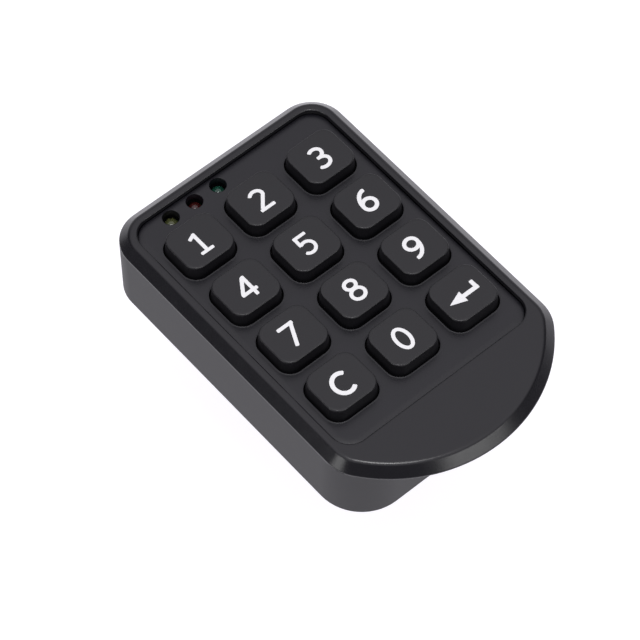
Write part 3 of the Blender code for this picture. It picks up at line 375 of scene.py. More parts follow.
def toward(start, end, reach):
    """Each point of one outline moved toward its partner on the other, by reach at most."""
    moved = []
    for a, b in zip(start, end):
        step = Vector(b) - Vector(a)
        gap = step.length
        if gap > 0:
            step = step * min(reach / gap, 1)
        moved.append((a[0] + step.x, a[1] + step.y))
    return moved


def softened(corners, steps=EDGE_STEPS):
    """The line through (inset, height, radius) corners, with each one rounded off."""
    points = []
    for i, (inset, height, radius) in enumerate(corners):
        if radius == 0:
            points.append((inset, height))
            continue
        corner = Vector((inset, height))
        back = (Vector(corners[i - 1][:2]) - corner).normalized()
        ahead = (Vector(corners[(i + 1) % len(corners)][:2]) - corner).normalized()
        half = back.angle(ahead) / 2
        centre = corner + (back + ahead).normalized() * radius / math.sin(half)
        first = corner + back * radius / math.tan(half) - centre
        last = corner + ahead * radius / math.tan(half) - centre
        start = math.degrees(math.atan2(first.y, first.x))
        turn = math.remainder(math.degrees(math.atan2(last.y, last.x)) - start, 360)
        points += arc(centre.x, centre.y, radius, start, start + turn, steps)
    return points


# Bodies, each a list of closed rings of points, and whether its last ring meets its first

def level(outline, height):
    """An outline at one height."""
    return [(x, y, height) for x, y in outline]


def shell(outline_of, section, looped=False):
    """A body that follows a section line of (inset, height) points round an outline."""
    return [level(outline_of(inset), height) for inset, height in section], looped


def turned(profile, steps=TURNED_STEPS, x=0, y=0, looped=False):
    """A turned body, from its radius and height pairs."""
    return [level(circle(radius, steps, x, y), height) for radius, height in profile], looped


def plate(outline_of, low, high, edge, upper_edge):
    """A flat body with rounded edges."""
    corners = [(3 * edge, low, 0), (0, low, edge), (0, high, upper_edge), (3 * edge, high, 0)]
    return shell(outline_of, softened(corners))


def plug(node, radius, low, high):
    """A plain round body on a node's axis."""
    return turned([(radius, low), (radius, high)], SMALL_STEPS, *middle(node))


def mouth(start, low, high, edge, outward):
    """The side line of a cutter whose upper end widens round an edge."""
    line = softened([(start, low, 0), (start, high, edge), (start + outward, high, 0)])[:-1]
    return line + [(line[-1][0], high + OVERRUN)]


def around(steps, x, y, place):
    """A ring round an axis, whose radius and height at each step and turn come from a function."""
    ring = []
    for i in range(steps):
        turn = 2 * math.pi * i / steps
        radius, height = place(i, turn)
        ring.append((x + radius * math.cos(turn), y + radius * math.sin(turn), height))
    return ring


def threaded(radius, depth, pitch, low, high, steps, x, y):
    """Rings of a helical thread with run-outs at both ends."""
    rings = []
    count = round((high - low) / pitch * FINE_STEPS)
    for i in range(count + 1):
        height = low + (high - low) * i / count
        runout = min(height - low, high - height, depth)

        def place(step, turn):
            phase = (height / pitch - step / steps) % 1
            return radius - depth + runout * (1 - abs(2 * phase - 1)), height

        rings.append(around(steps, x, y, place))
    return rings


def placed(name, data):
    """A new object in the scene."""
    thing = bpy.data.objects.new(name, data)
    bpy.context.scene.collection.objects.link(thing)
    return thing


def mesh_from(name, bodies):
    """One mesh object holding the given bodies."""
    work = bmesh.new()
    for rings, looped in bodies:
        rows = [[work.verts.new(point) for point in ring] for ring in rings]
        count = len(rows[0])
        pairs = list(zip(rows, rows[1:]))
        if looped:
            pairs.append((rows[-1], rows[0]))
        else:
            work.faces.new(rows[0][::-1])
            work.faces.new(rows[-1])
        for low, high in pairs:
            for i in range(count):
                j = (i + 1) % count
                work.faces.new((low[i], low[j], high[j], high[i]))
    bmesh.ops.remove_doubles(work, verts=work.verts, dist=MERGE)
    bmesh.ops.dissolve_degenerate(work, edges=work.edges, dist=MERGE)
    bmesh.ops.recalc_face_normals(work, faces=work.faces)
    data = bpy.data.meshes.new(name)
    work.to_mesh(data)
    work.free()
    return placed(name, data)


def combine(target, bodies, operation="DIFFERENCE"):
    """Cut the bodies out of the target, or join them to it."""
    tool = mesh_from(target.name + "_tool", bodies)
    modifier = target.modifiers.new("combine", "BOOLEAN")
    modifier.object = tool
    modifier.operation = operation
    modifier.solver = "EXACT"
    depsgraph = bpy.context.evaluated_depsgraph_get()
    spare = [target.data, tool.data]
    target.data = bpy.data.meshes.new_from_object(target.evaluated_get(depsgraph))
    target.modifiers.clear()
    bpy.data.objects.remove(tool)
    for data in spare:
        bpy.data.meshes.remove(data)


def settle(thing, finish, body, nodes=(), crease=32):
    """Give a piece its finish and shading, and seat it on its body in place of its nodes."""
    thing.data.materials.clear()
    thing.data.materials.append(finish_named(finish))
    thing.data.shade_smooth()
    thing.data.set_sharp_from_angle(angle=math.radians(crease))
    weighted = thing.modifiers.new("weighted", "WEIGHTED_NORMAL")
    weighted.keep_sharp = True
    weighted.weight = 100
    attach(thing, body)
    if nodes:
        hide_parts(*nodes)


def middle(node):
    """A node's centre, seen from the front."""
    low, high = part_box(node)
    return (low.x + high.x) / 2, (low.y + high.y) / 2


def body_of(node):
    """The body that a node rides on."""
    for name, entry in frame["record"]["behaviour"]["bodies"].items():
        if node in entry:
            return name
    raise ValueError("no body holds " + node)


# Finishes

class Nodes:
    """A node tree that is filled one line at a time."""

    def __init__(self, tree):
        self.tree = tree

    def add(self, kind, sockets=None, **settings):
        """A node with its settings, and a value or a feed for each socket that is named."""
        node = self.tree.nodes.new(kind)
        for key, value in settings.items():
            setattr(node, key, value)
        self.fill(node, sockets or {})
        return node

    def fill(self, node, sockets):
        """Give a node's sockets their values or what feeds them."""
        for key, value in sockets.items():
            if isinstance(value, bpy.types.NodeSocket):
                self.tree.links.new(value, node.inputs[key])
            else:
                node.inputs[key].default_value = value

    def span(self, source, start, end, low, high, **settings):
        """A value between start and end, mapped onto a range from low to high."""
        sockets = {"Value": source, "From Min": start, "From Max": end, "To Min": low, "To Max": high}
        return self.add("ShaderNodeMapRange", sockets, **settings).outputs["Result"]


class Recipe(Nodes):
    """A material for one finish."""

    def __init__(self, name, rough, metallic=0.0):
        self.material = bpy.data.materials.new(name)
        self.material.use_nodes = True
        super().__init__(self.material.node_tree)
        self.shader = self.tree.nodes["Principled BSDF"]
        self.feed("Roughness", rough)
        self.feed("Metallic", metallic)
        self.place = self.add("ShaderNodeTexCoord").outputs["Object"]

    def feed(self, socket, source):
        """Give a socket of the shader its value or what feeds it."""
        self.fill(self.shader, {socket: source})

    def shift(self, **sockets):
        """Where a point lies, once moved, turned or stretched."""
        return self.add("ShaderNodeMapping", {"Vector": self.place, **sockets}).outputs["Vector"]

    def noise(self, size, detail, place=None):
        """Noise whose features are about the given size."""
        sockets = {"Vector": self.place if place is None else place, "Scale": 1 / size, "Detail": detail}
        return self.add("ShaderNodeTexNoise", sockets).outputs["Fac"]

    def spread(self, source, low, high):
        """A noise spread over a range."""
        return self.span(source, *NOISE_RANGE, low, high)

    def blend(self, factor, first, second):
        """Two colours mixed by a factor."""
        ends = [end if isinstance(end, bpy.types.NodeSocket) else (*end, 1.0) for end in (first, second)]
        mix = self.add("ShaderNodeMix", {"Factor": factor, 6: ends[0], 7: ends[1]}, data_type="RGBA")
        return mix.outputs[2]

    def drift(self, tone, size, detail, darker, lighter, socket="Base Color"):
        """Let a colour drift between a darker and a lighter tone."""
        self.feed(socket, self.blend(self.noise(size, detail), scaled(tone, darker), scaled(tone, lighter)))

    def relief(self, height, depth):
        """Raise the surface by a fine relief."""
        bump = self.add("ShaderNodeBump", {"Height": height, "Strength": 1.0, "Distance": depth * MM})
        self.feed("Normal", bump.outputs["Normal"])


def scaled(tone, factor):
    """A colour made lighter or darker."""
    return tuple(min(1.0, value * factor) for value in tone)


def moulded(name, tone, rough, grain=0.16, depth=0.0012, matt=None, matt_below=0.0):
    """Moulded plastic: an even grain and an uneven sheen, more matt below a height if one is given."""
    made = Recipe(name, rough)
    made.drift(tone, 9 * MM, 3.0, darker=0.92, lighter=1.08)
    uneven = 0.015
    sheen = made.spread(made.noise(2.2 * MM, 4.0), rough - uneven, rough + uneven)
    if matt is not None:
        height = made.add("ShaderNodeSeparateXYZ", {"Vector": made.place}).outputs["Z"]
        above = made.add("ShaderNodeMath", {0: height, 1: matt_below}, operation="GREATER_THAN")
        mix = made.add("ShaderNodeMix", {"Factor": above.outputs["Value"], "A": matt, "B": sheen})
        sheen = mix.outputs["Result"]
    made.feed("Roughness", sheen)
    made.relief(made.noise(grain * MM, 3.0), depth)
    return made.material


def plated(name, tone, rough, streak=0.25):
    """Plated metal: a cloudy sheen with fine scratches from tumbling."""
    made = Recipe(name, rough, 1.0)
    made.drift(tone, 3.5 * MM, 4.0, darker=0.84, lighter=1.08)
    stretched = made.shift(Scale=(1.0, 0.08, 1.0), Rotation=(0.0, 0.0, 0.6))
    scratch = made.noise(streak * MM, 4.0, stretched)
    smoother, rougher = 0.06, 0.10
    made.feed("Roughness", made.spread(scratch, rough - smoother, rough + rougher))
    made.relief(scratch, 0.0025)
    return made.material


def turned_metal(name, tone, rough, centre, band=0.22):
    """Turned metal: fine rings round its own axis."""
    made = Recipe(name, rough, 1.0)
    made.drift(tone, 3.0 * MM, 3.0, darker=0.86, lighter=1.08)
    centred = made.shift(Location=(-centre[0], -centre[1], 0.0))
    bands_per_scale = 6.3
    scale = 1 / (band * MM) / bands_per_scale
    sockets = {"Vector": centred, "Scale": scale, "Distortion": 0.6, "Detail": 2.0}
    rings = made.add("ShaderNodeTexWave", sockets, wave_type="RINGS", rings_direction="Z").outputs["Fac"]
    smoother, rougher = 0.05, 0.08
    made.feed("Roughness", made.spread(rings, rough - smoother, rough + rougher))
    made.relief(rings, 0.003)
    return made.material


def resin(name, tone):
    """The lamps' tinted resin: clear at its skin and cloudy inside."""
    made = Recipe(name, 0.17)
    made.drift(tone, 0.8 * MM, 2.0, darker=0.7, lighter=1.3)
    made.relief(made.noise(0.9 * MM, 1.0), 0.002)
    made.feed("Subsurface Weight", 0.35)
    made.feed("Subsurface Radius", (1.0, 1.0, 1.0))
    made.feed("Subsurface Scale", 0.4 * MM)
    made.feed("Coat Weight", 0.25)
    made.feed("Coat Roughness", 0.10)
    return made.material


def printed(name, tone):
    """Pad-printed ink: nearly even, with a fine tooth."""
    made = Recipe(name, 0.42)
    made.drift(tone, 0.7 * MM, 3.0, darker=0.95, lighter=1.03)
    made.relief(made.noise(0.12 * MM, 2.0), 0.0012)
    return made.material


def rubber(name, tone):
    """Silicone rubber: soft, slightly see-through at its edges and a little dusty."""
    made = Recipe(name, 0.58)
    made.drift(tone, 4 * MM, 4.0, darker=0.9, lighter=1.1)
    made.feed("Roughness", made.spread(made.noise(0.6 * MM, 3.0), 0.5, 0.68))
    made.relief(made.noise(0.2 * MM, 2.0), 0.002)
    made.feed("Subsurface Weight", 0.25)
    made.feed("Subsurface Scale", 1.5 * MM)
    return made.material


def circuit(name):
    """A solder mask with tracks under it and rows of tinned pads."""
    made = Recipe(name, 0.35)
    mask_dark, mask_light = (0.006, 0.060, 0.024), (0.010, 0.085, 0.034)
    track, tin = (0.020, 0.150, 0.060), (0.60, 0.58, 0.52)
    pitch, pad_share, pad_edge_share = 5.0 * MM, 0.10, 0.11
    tracks = made.add("ShaderNodeTexBrick", {
        "Vector": made.place,
        "Scale": 1.0,
        "Brick Width": 6.0 * MM,
        "Row Height": 0.9 * MM,
        "Mortar Size": 0.11 * MM,
    }, offset=0.35).outputs["Fac"]
    board = made.blend(tracks, made.blend(made.noise(5 * MM, 3.0), mask_dark, mask_light), track)
    pads = made.add("ShaderNodeTexVoronoi", {"Vector": made.place, "Scale": 1 / pitch, "Randomness": 0.9})
    from_pad = pads.outputs["Distance"]
    ring = made.span(from_pad, pad_share, pad_edge_share, 0.0, 1.0, interpolation_type="STEPPED")
    made.fill(ring.node, {"Steps": 1.0})
    made.feed("Base Color", made.blend(ring, tin, board))
    metal = made.add("ShaderNodeMath", {0: 1.0, 1: ring}, operation="SUBTRACT")
    made.feed("Metallic", metal.outputs["Value"])
    made.relief(tracks, 0.01)
    return made.material


def finish_named(kind):
    """One of the lock's finishes, made when it is first asked for."""
    name = "finish_" + kind
    if name in bpy.data.materials:
        return bpy.data.materials[name]
    look = bpy.context.scene.lock_finishes
    axis = middle("spindle")
    lip_under = case_places().under + FIT / 3
    makers = {
        "case": lambda: moulded(name, look.case, rough=0.24, matt=0.56, matt_below=lip_under),
        "panel": lambda: moulded(name, look.panel, rough=0.36, grain=0.13),
        "keycap": lambda: moulded(name, look.keycap, rough=0.36, grain=0.12),
        "cover": lambda: moulded(name, look.case, rough=0.42, grain=0.30, depth=0.004),
        "black": lambda: moulded(name, look.black, rough=0.34, grain=0.20, depth=0.002),
        "chip": lambda: moulded(name, look.chip, rough=0.52, grain=0.10, depth=0.002),
        "figure": lambda: printed(name, look.figure),
        "led_yellow": lambda: resin(name, look.yellow),
        "led_red": lambda: resin(name, look.red),
        "led_green": lambda: resin(name, look.green),
        "silicone": lambda: rubber(name, look.silicone),
        "nylon": lambda: moulded(name, look.nylon, rough=0.38, grain=0.25, depth=0.002),
        "zinc": lambda: plated(name, look.zinc, rough=0.30),
        "nickel": lambda: turned_metal(name, look.nickel, rough=0.22, centre=axis),
        "steel": lambda: turned_metal(name, look.zinc, rough=0.24, centre=axis),
        "can": lambda: plated(name, look.can, rough=0.22, streak=0.12),
        "circuit": lambda: circuit(name),
    }
    return makers[kind]()


# The case

def case_places():
    """Where the case's curves lie, from the frame's boxes and the case's own sizes."""
    sizes = bpy.context.scene.lock_case
    low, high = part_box("front_housing")
    panel_low, panel_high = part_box("keypad_panel")
    p = SimpleNamespace()
    p.half_x = high.x
    p.half_y = high.y
    p.depth = high.z
    p.lip_corner = sizes.lip_corner
    p.top_corner = sizes.top_corner
    p.lip_radius = high.x + sizes.lip_bulge
    p.lip_y = low.y + p.lip_radius
    p.corner_x = high.x - sizes.lip_corner
    drop = math.sqrt((p.lip_radius - sizes.lip_corner) ** 2 - p.corner_x ** 2)
    p.corner_y = p.lip_y - drop
    p.turn = math.degrees(math.atan2(drop, p.corner_x))
    p.start_y = -high.y + sizes.bottom_corner
    p.under = high.z - sizes.chamfer - sizes.lip_edge
    p.web_top = panel_low.z - FIT
    p.web_low = p.web_top - sizes.web
    gap = sizes.panel_gap
    p.recess = (panel_high.x + gap, panel_low.y - gap, panel_high.y + gap)
    return p


def recess_outline(p, inset=0):
    """The panel's recess in the case's front."""
    corner = bpy.context.scene.lock_case.recess_corner
    half_x, low_y, high_y = p.recess
    return case_outline(half_x, low_y, high_y, corner, corner, inset)


def body_outline(p, inset=0):
    """The case's body under the lip."""
    sizes = bpy.context.scene.lock_case
    return case_outline(p.half_x, -p.half_y, p.half_y, sizes.bottom_corner, sizes.top_corner, inset)


def key_outline(node, inset):
    """A key's outline, moved in from its flange's edge."""
    sizes = bpy.context.scene.lock_keypad
    low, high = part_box(node)
    x, y = middle(node)
    radius = sizes.key_corner + sizes.draft + sizes.flange
    half_x = (high.x - low.x) / 2
    half_y = (high.y - low.y) / 2
    return rounded(half_x - inset, half_y - inset, radius - inset, x, y, FINE_STEPS)


def key_shell(node, section):
    """A body that follows a section line round a key's outline."""
    return shell(lambda inset: key_outline(node, inset), section)


def key_openings(low, high, edge=0):
    """Cutters for all the keys' openings, rounded outward at the top if edge is given."""
    inset = bpy.context.scene.lock_keypad.flange - FIT
    return [key_shell(node, mouth(inset, low, high, edge, -OVERRUN)) for node in KEYS]


def lamp_bores(radius, low, high, edge=0):
    """Cutters for the three lamp bores."""
    profile = mouth(radius, low, high, edge, OVERRUN)
    return [turned(profile, SMALL_STEPS, *middle(node)) for node in LAMPS]


def case_body(p):
    """The case in one skin, from the recess over the rim, chamfer and lip, down the walls and up inside."""
    sizes = bpy.context.scene.lock_case
    rim = [(0, p.web_top, 0), (0, p.depth, sizes.rim_edge), (-2 * sizes.rim_edge, p.depth, 0)]
    rings = shell(lambda inset: recess_outline(p, inset), softened(rim))[0]
    brow_height = p.under + sizes.lip_round
    slope = [
        (sizes.chamfer + sizes.crest / 2, p.depth, 0),
        (sizes.chamfer, p.depth, sizes.crest),
        (0, p.depth - sizes.chamfer, sizes.brow),
        (0, brow_height, 0),
    ]
    rings += shell(lambda inset: front_outline(p, inset), softened(slope))[0]
    front = front_outline(p)
    body = body_outline(p)
    for across, down in quarter(sizes.lip_round)[1:]:
        rings.append(level(toward(front, body, across), brow_height - down))
    for down, across in quarter(sizes.lip_fillet):
        rings.append(level(toward(body, front, sizes.lip_fillet - across), p.under - down))
    foot = [
        (0, p.web_low, 0),
        (0, 0, sizes.foot_edge),
        (sizes.wall, 0, sizes.foot_edge / 2),
        (sizes.wall, p.web_low, 0),
    ]
    rings += shell(lambda inset: body_outline(p, inset), softened(foot))[0]
    return rings, False


class LOCK_OT_case(bpy.types.Operator):
    """Build the front housing with its rim, chamfer, finger-pull lip, keypad recess and screw bosses"""

    bl_idname = "lock.case"
    bl_label = "Front housing"

    def execute(self, context):
        sizes = context.scene.lock_case
        keypad = context.scene.lock_keypad
        p = case_places()
        case = mesh_from("case_shell", [case_body(p)])
        cutters = key_openings(p.web_low - OVERRUN, p.web_top)
        cutters += lamp_bores(keypad.bore_radius + FIT, p.web_low - OVERRUN, p.web_top)
        combine(case, cutters)
        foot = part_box("back_cover")[0].z + context.scene.lock_latch.cover + FIT
        bosses = [plug(node, sizes.boss_radius, foot, p.web_low + BITE) for node in COVER_SCREWS]
        combine(case, bosses, "UNION")
        pilots = [plug(node, sizes.pilot_radius, foot - OVERRUN, sizes.pilot_top) for node in COVER_SCREWS]
        combine(case, pilots)
        settle(case, "case", "case", ["front_housing"])
        return {"FINISHED"}


class LOCK_OT_panel(bpy.types.Operator):
    """Build the keypad panel with its rounded key openings and lamp bores"""

    bl_idname = "lock.panel"
    bl_label = "Keypad panel"

    def execute(self, context):
        case = context.scene.lock_case
        sizes = context.scene.lock_keypad
        low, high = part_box("keypad_panel")
        corner = case.recess_corner - case.panel_gap
        grow = case.panel_gap - sizes.seam
        edge = sizes.panel_edge
        section = softened([
            (3 * edge, low.z, 0),
            (0, low.z, edge),
            (0, high.z - sizes.panel_fall, edge),
            (sizes.shoulder, high.z, sizes.shoulder_round),
            (2 * sizes.shoulder, high.z, 0),
        ])

        def outline_of(inset):
            return case_outline(high.x, low.y, high.y, corner, corner, inset - grow)

        panel = mesh_from("panel_face", [shell(outline_of, section)])
        inset = sizes.flange - FIT
        bead_top = high.z + sizes.bead_rise
        bead = [
            (inset - sizes.bead, high.z - BITE),
            (inset - sizes.bead, high.z),
            (inset - sizes.bead / 2, high.z + sizes.bead_rise * BEAD_SHARE),
            (inset, bead_top),
        ]
        combine(panel, [key_shell(node, bead) for node in KEYS], "UNION")
        combine(panel, key_openings(low.z - OVERRUN, bead_top, sizes.opening_edge))
        combine(panel, lamp_bores(sizes.bore_radius, low.z - OVERRUN, high.z, sizes.bore_edge))
        settle(panel, "panel", "case", ["keypad_panel"])
        return {"FINISHED"}


# The keys' figures

def bow(x, y, reach_x, reach_y, start, end):
    """A stroke's curved path, in degrees from start to end."""
    steps = round(abs(end - start) / BOW_STEP)
    return [(x + reach_x * px, y + reach_y * py) for px, py in arc(0, 0, 1, start, end, steps)]


# Each stroke is a path in millimetres from the key's middle and its share of the full width at its
# start and, where it tapers, at its end
FIGURES = {
    "key_1": [
        ([(-1.72, 1.17), (-0.33, 1.80)], 0.90),
        ([(-0.23, 2.24), (-0.23, -3.12)], 0.95),
        ([(-1.85, -2.86), (1.36, -2.86)], 0.87),
    ],
    "key_2": [
        (bow(-0.35, 0.90, 1.44, 1.20, 158, -18) + [(-1.43, -2.45)], 0.94),
        ([(-2.04, -2.69), (1.61, -2.69)], 0.92),
    ],
    "key_3": [
        (bow(-0.44, 1.05, 1.41, 1.20, 142, -90) + [(-0.97, -0.15)], 0.97),
        ([(-0.97, -0.15)] + bow(-0.48, -1.43, 1.60, 1.28, 90, -146), 0.97),
    ],
    "key_4": [
        ([(0.75, 2.53), (0.75, -2.95)], 0.95),
        ([(-2.13, -1.42), (1.77, -1.42)], 0.95),
        ([(0.62, 2.24), (-1.85, -1.37)], 0.95),
    ],
    "key_5": [
        ([(-1.84, 2.30), (1.33, 2.30)], 0.88),
        ([(-1.41, 2.45), (-1.46, 0.05)], 0.88),
        (bow(-0.40, -0.90, 1.54, 1.47, 134, -148), 0.90),
    ],
    "key_6": [
        (bow(-0.09, -0.96, 1.48, 1.42, 0, 360), 1.04),
        (bow(0.95, -0.80, 2.52, 3.30, 180, 84), 1.04),
    ],
    "key_7": [
        ([(-2.22, 2.36), (1.67, 2.36)], 0.97),
        ([(1.16, 2.31), (-1.22, -2.76)], 0.97),
    ],
    "key_8": [
        (bow(-0.05, 1.37, 1.26, 1.08, 0, 360), 0.95),
        (bow(0.01, -1.17, 1.50, 1.33, 0, 360), 0.95),
    ],
    "key_9": [
        (bow(-0.19, 0.81, 1.48, 1.39, 0, 360), 1.00),
        (bow(-1.23, 0.65, 2.52, 3.23, 0, -96), 1.00),
    ],
    "key_clear": [
        (bow(0.04, -0.50, 2.21, 2.40, 46, 314), 1.12),
    ],
    "key_0": [
        (bow(-0.29, -0.35, 1.49, 2.46, 0, 360), 0.95),
    ],
    "key_enter": [
        ([(-4.07, -0.71), (-0.52, -0.71)], 0.10, 3.25),
        ([(-0.87, -0.71), (3.45, -0.71)], 1.12),
        ([(2.93, -1.06), (2.93, 1.24)], 1.05),
    ],
}


def stroke_body(stroke, low, high, x, y):
    """A flat stroke with softly rounded ends. A path that ends where it starts makes a ring."""
    sizes = bpy.context.scene.lock_keypad
    path, *shares = stroke
    points = [Vector((x + px * MM, y + py * MM)) for px, py in path]
    ringed = (points[0] - points[-1]).length < MERGE
    gone = [0.0]
    for a, b in zip(points, points[1:]):
        gone.append(gone[-1] + (b - a).length)
    total = gone[-1]
    if ringed:
        stations = [(distance, 0.0) for distance in gone[:-1]]
    else:
        soft = min(sizes.stroke_end, sizes.stroke * min(shares) / 2)
        ends = [(across, soft - up) for across, up in quarter(soft)]
        clear = soft * END_CLEAR
        inner = [(distance, 0.0) for distance in gone if clear < distance < total - clear]
        stations = ends + inner + [(total - distance, shrink) for distance, shrink in ends[::-1]]
    rings = []
    for distance, shrink in stations:
        i = max(k for k in range(len(gone) - 1) if gone[k] <= distance + MERGE / 10)
        along = (distance - gone[i]) / (gone[i + 1] - gone[i])
        at = points[i].lerp(points[i + 1], along)
        ahead = (points[i + 1] - points[i]).normalized()
        if along < CORNER_SHARE and (i > 0 or ringed):
            ahead = (ahead + (points[i] - points[i - 1 if i > 0 else -2]).normalized()).normalized()
        width_share = shares[0] + (shares[-1] - shares[0]) * distance / total
        side = Vector((-ahead.y, ahead.x)) * (sizes.stroke / 2 * width_share - shrink)
        left = at + side
        right = at - side
        rings.append([(*left, low), (*right, low), (*right, high), (*left, high)])
    return rings, ringed


class LOCK_OT_keys(bpy.types.Operator):
    """Build the twelve keys and the white figures printed on them"""

    bl_idname = "lock.keys"
    bl_label = "Keys and figures"

    def execute(self, context):
        sizes = context.scene.lock_keypad
        panel_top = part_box("keypad_panel")[1].z
        for node, strokes in FIGURES.items():
            low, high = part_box(node)
            flange_top = low.z + sizes.flange_height
            foot = sizes.key_edge / 3
            section = softened([
                (sizes.flange * 2, low.z, 0),
                (0, low.z, foot),
                (0, flange_top, foot),
                (sizes.flange, flange_top, 0),
                (sizes.flange, panel_top, 0),
                (sizes.flange + sizes.draft, high.z, sizes.key_edge),
                (sizes.flange * 2 + sizes.draft, high.z, 0),
            ], steps=EDGE_STEPS + 1)
            key = mesh_from(node + "_cap", [key_shell(node, section)])
            settle(key, "keycap", body_of(node), [node])
            rise = sizes.print_height
            bodies = [stroke_body(stroke, high.z - rise, high.z + rise, *middle(node)) for stroke in strokes]
            figure = mesh_from(node + "_figure", bodies[:1])
            for body in bodies[1:]:
                combine(figure, [body], "UNION")
            settle(figure, "figure", body_of(node))
        return {"FINISHED"}


class LOCK_OT_lamps(bpy.types.Operator):
    """Build the three domed lamps"""

    bl_idname = "lock.lamps"
    bl_label = "Lamps"

    def execute(self, context):
        sizes = context.scene.lock_keypad
        for node in LAMPS:
            low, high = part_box(node)
            flange = (high.x - low.x) / 2
            edge = sizes.lamp_flange / 10
            profile = softened([
                (0, low.z, 0),
                (flange, low.z, edge),
                (flange, low.z + sizes.lamp_flange, edge),
                (sizes.lamp_radius, low.z + sizes.lamp_flange, 0),
            ], steps=3)
            flatter = sizes.lamp_dome / sizes.lamp_radius
            dome = arc(0, 0, sizes.lamp_radius, 0, 90, CORNER_STEPS)
            profile += [(across, high.z - sizes.lamp_dome + up * flatter) for across, up in dome]
            lamp = mesh_from(node + "_resin", [turned(profile, SMALL_STEPS, *middle(node))])
            settle(lamp, node, "case", [node])
        return {"FINISHED"}


class LOCK_OT_mat(bpy.types.Operator):
    """Build the silicone sheet and its twelve domes under the keys"""

    bl_idname = "lock.mat"
    bl_label = "Silicone mat"

    def execute(self, context):
        sizes = context.scene.lock_keypad
        low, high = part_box("silicone_mat")
        top = low.z + sizes.sheet
        x, y = middle("silicone_mat")
        edge = sizes.sheet / 4

        def outline_of(inset):
            return rounded(high.x - x - inset, high.y - y - inset, sizes.mat_corner - inset, x, y)

        sheet = mesh_from("mat_sheet", [plate(outline_of, low.z, top, edge, edge)])
        settle(sheet, "silicone", "case", ["silicone_mat"])
        rise = high.z - top
        profile = softened([
            (0, top + MERGE, 0),
            (sizes.dome_base, top + MERGE, 0),
            (sizes.dome_base - rise / 8, top + rise / 5, rise / 6),
            (sizes.dome_tip + rise / 4, high.z - rise / 3, rise / 4),
            (sizes.dome_tip, high.z, rise / 6),
            (0, high.z, 0),
        ])
        for node in KEYS:
            dome = mesh_from("dome_under_" + node, [turned(profile, SMALL_STEPS, *middle(node))])
            settle(dome, "silicone", "case")
            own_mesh(dome)
        return {"FINISHED"}


class LOCK_OT_cover(bpy.types.Operator):
    """Build the back cover with its barrel hole, counterbores and gear posts"""

    bl_idname = "lock.cover"
    bl_label = "Back cover"

    def execute(self, context):
        case = context.scene.lock_case
        sizes = context.scene.lock_latch
        p = case_places()

        def outline_of(inset):
            return body_outline(p, case.wall + FIT + inset)

        edge = case.foot_edge
        cover = mesh_from("cover_plate", [plate(outline_of, 0, sizes.cover, edge, edge / 2)])
        combine(cover, self.posts(sizes), "UNION")
        combine(cover, self.holes(sizes, edge))
        settle(cover, "cover", "case", ["back_cover"])
        return {"FINISHED"}

    def posts(self, sizes):
        """Four posts under the gear plate's corners, each with a pin that goes through the plate."""
        low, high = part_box("gear_plate")
        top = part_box("back_cover")[1].z
        shoulder = low.z - FIT
        profile = softened([
            (sizes.post, sizes.cover - BITE, 0),
            (sizes.post, shoulder, sizes.post_pin / 4),
            (sizes.post_pin, shoulder, 0),
            (sizes.post_pin, top, sizes.post_pin / 3),
            (0, top, 0),
        ])
        margin = sizes.post_margin
        columns = (low.x + margin, high.x - margin)
        rows = (low.y + margin, high.y - margin)
        return [turned(profile, SMALL_STEPS, x, y) for x in columns for y in rows]

    def holes(self, sizes, edge):
        """Cutters for the barrel's hole, the idler pin's seat and the screws' counterbores."""
        top = sizes.cover
        past = top + OVERRUN
        x, y = middle("spindle")

        def barrel_outline(grow):
            reach = sizes.barrel_radius + FIT + grow
            half = math.degrees(math.acos((sizes.barrel_flats / 2 + FIT + grow) / reach))
            upper = arc(x, y, reach, half, 180 - half, SMALL_STEPS)
            return upper + arc(x, y, reach, 180 + half, 360 - half, SMALL_STEPS)

        pin_low, pin_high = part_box("idler_pin")
        pin_radius = (pin_high.x - pin_low.x) / 2 + FIT
        cutters = [
            shell(barrel_outline, [(edge, -OVERRUN), (edge, 0), (0, edge), (0, past)]),
            plug("idler_pin", pin_radius, pin_low.z - FIT, past),
        ]
        wide, narrow = sizes.counterbore, sizes.cover_shank + FIT
        step = sizes.counterbore_depth
        flare = edge / 2
        profile = [(wide + flare, -OVERRUN), (wide + flare, 0), (wide, flare), (wide, step)]
        profile += [(narrow, step), (narrow, past)]
        return cutters + [turned(profile, SMALL_STEPS, *middle(node)) for node in COVER_SCREWS]


# The screws, and the lock behind the door

def phillips(x, y, radius, low, depth):
    """A cutter for a cross recess that narrows as it goes in."""
    arm, half = radius * ARM_SHARE, radius * SLOT_SHARE

    def outline_of(inset):
        points = []
        for quarter_turn in range(4):
            cos, sin = math.cos(math.pi / 2 * quarter_turn), math.sin(math.pi / 2 * quarter_turn)
            side = half - inset / 4
            reach = arm - inset
            for px, py in ((reach, -side), (reach, side), (side, side)):
                points.append((x + px * cos - py * sin, y + px * sin + py * cos))
        return points

    section = [(-depth * FLARE_SHARE, low - OVERRUN), (0, low), (arm * TAPER_SHARE, low + depth)]
    return shell(outline_of, section)


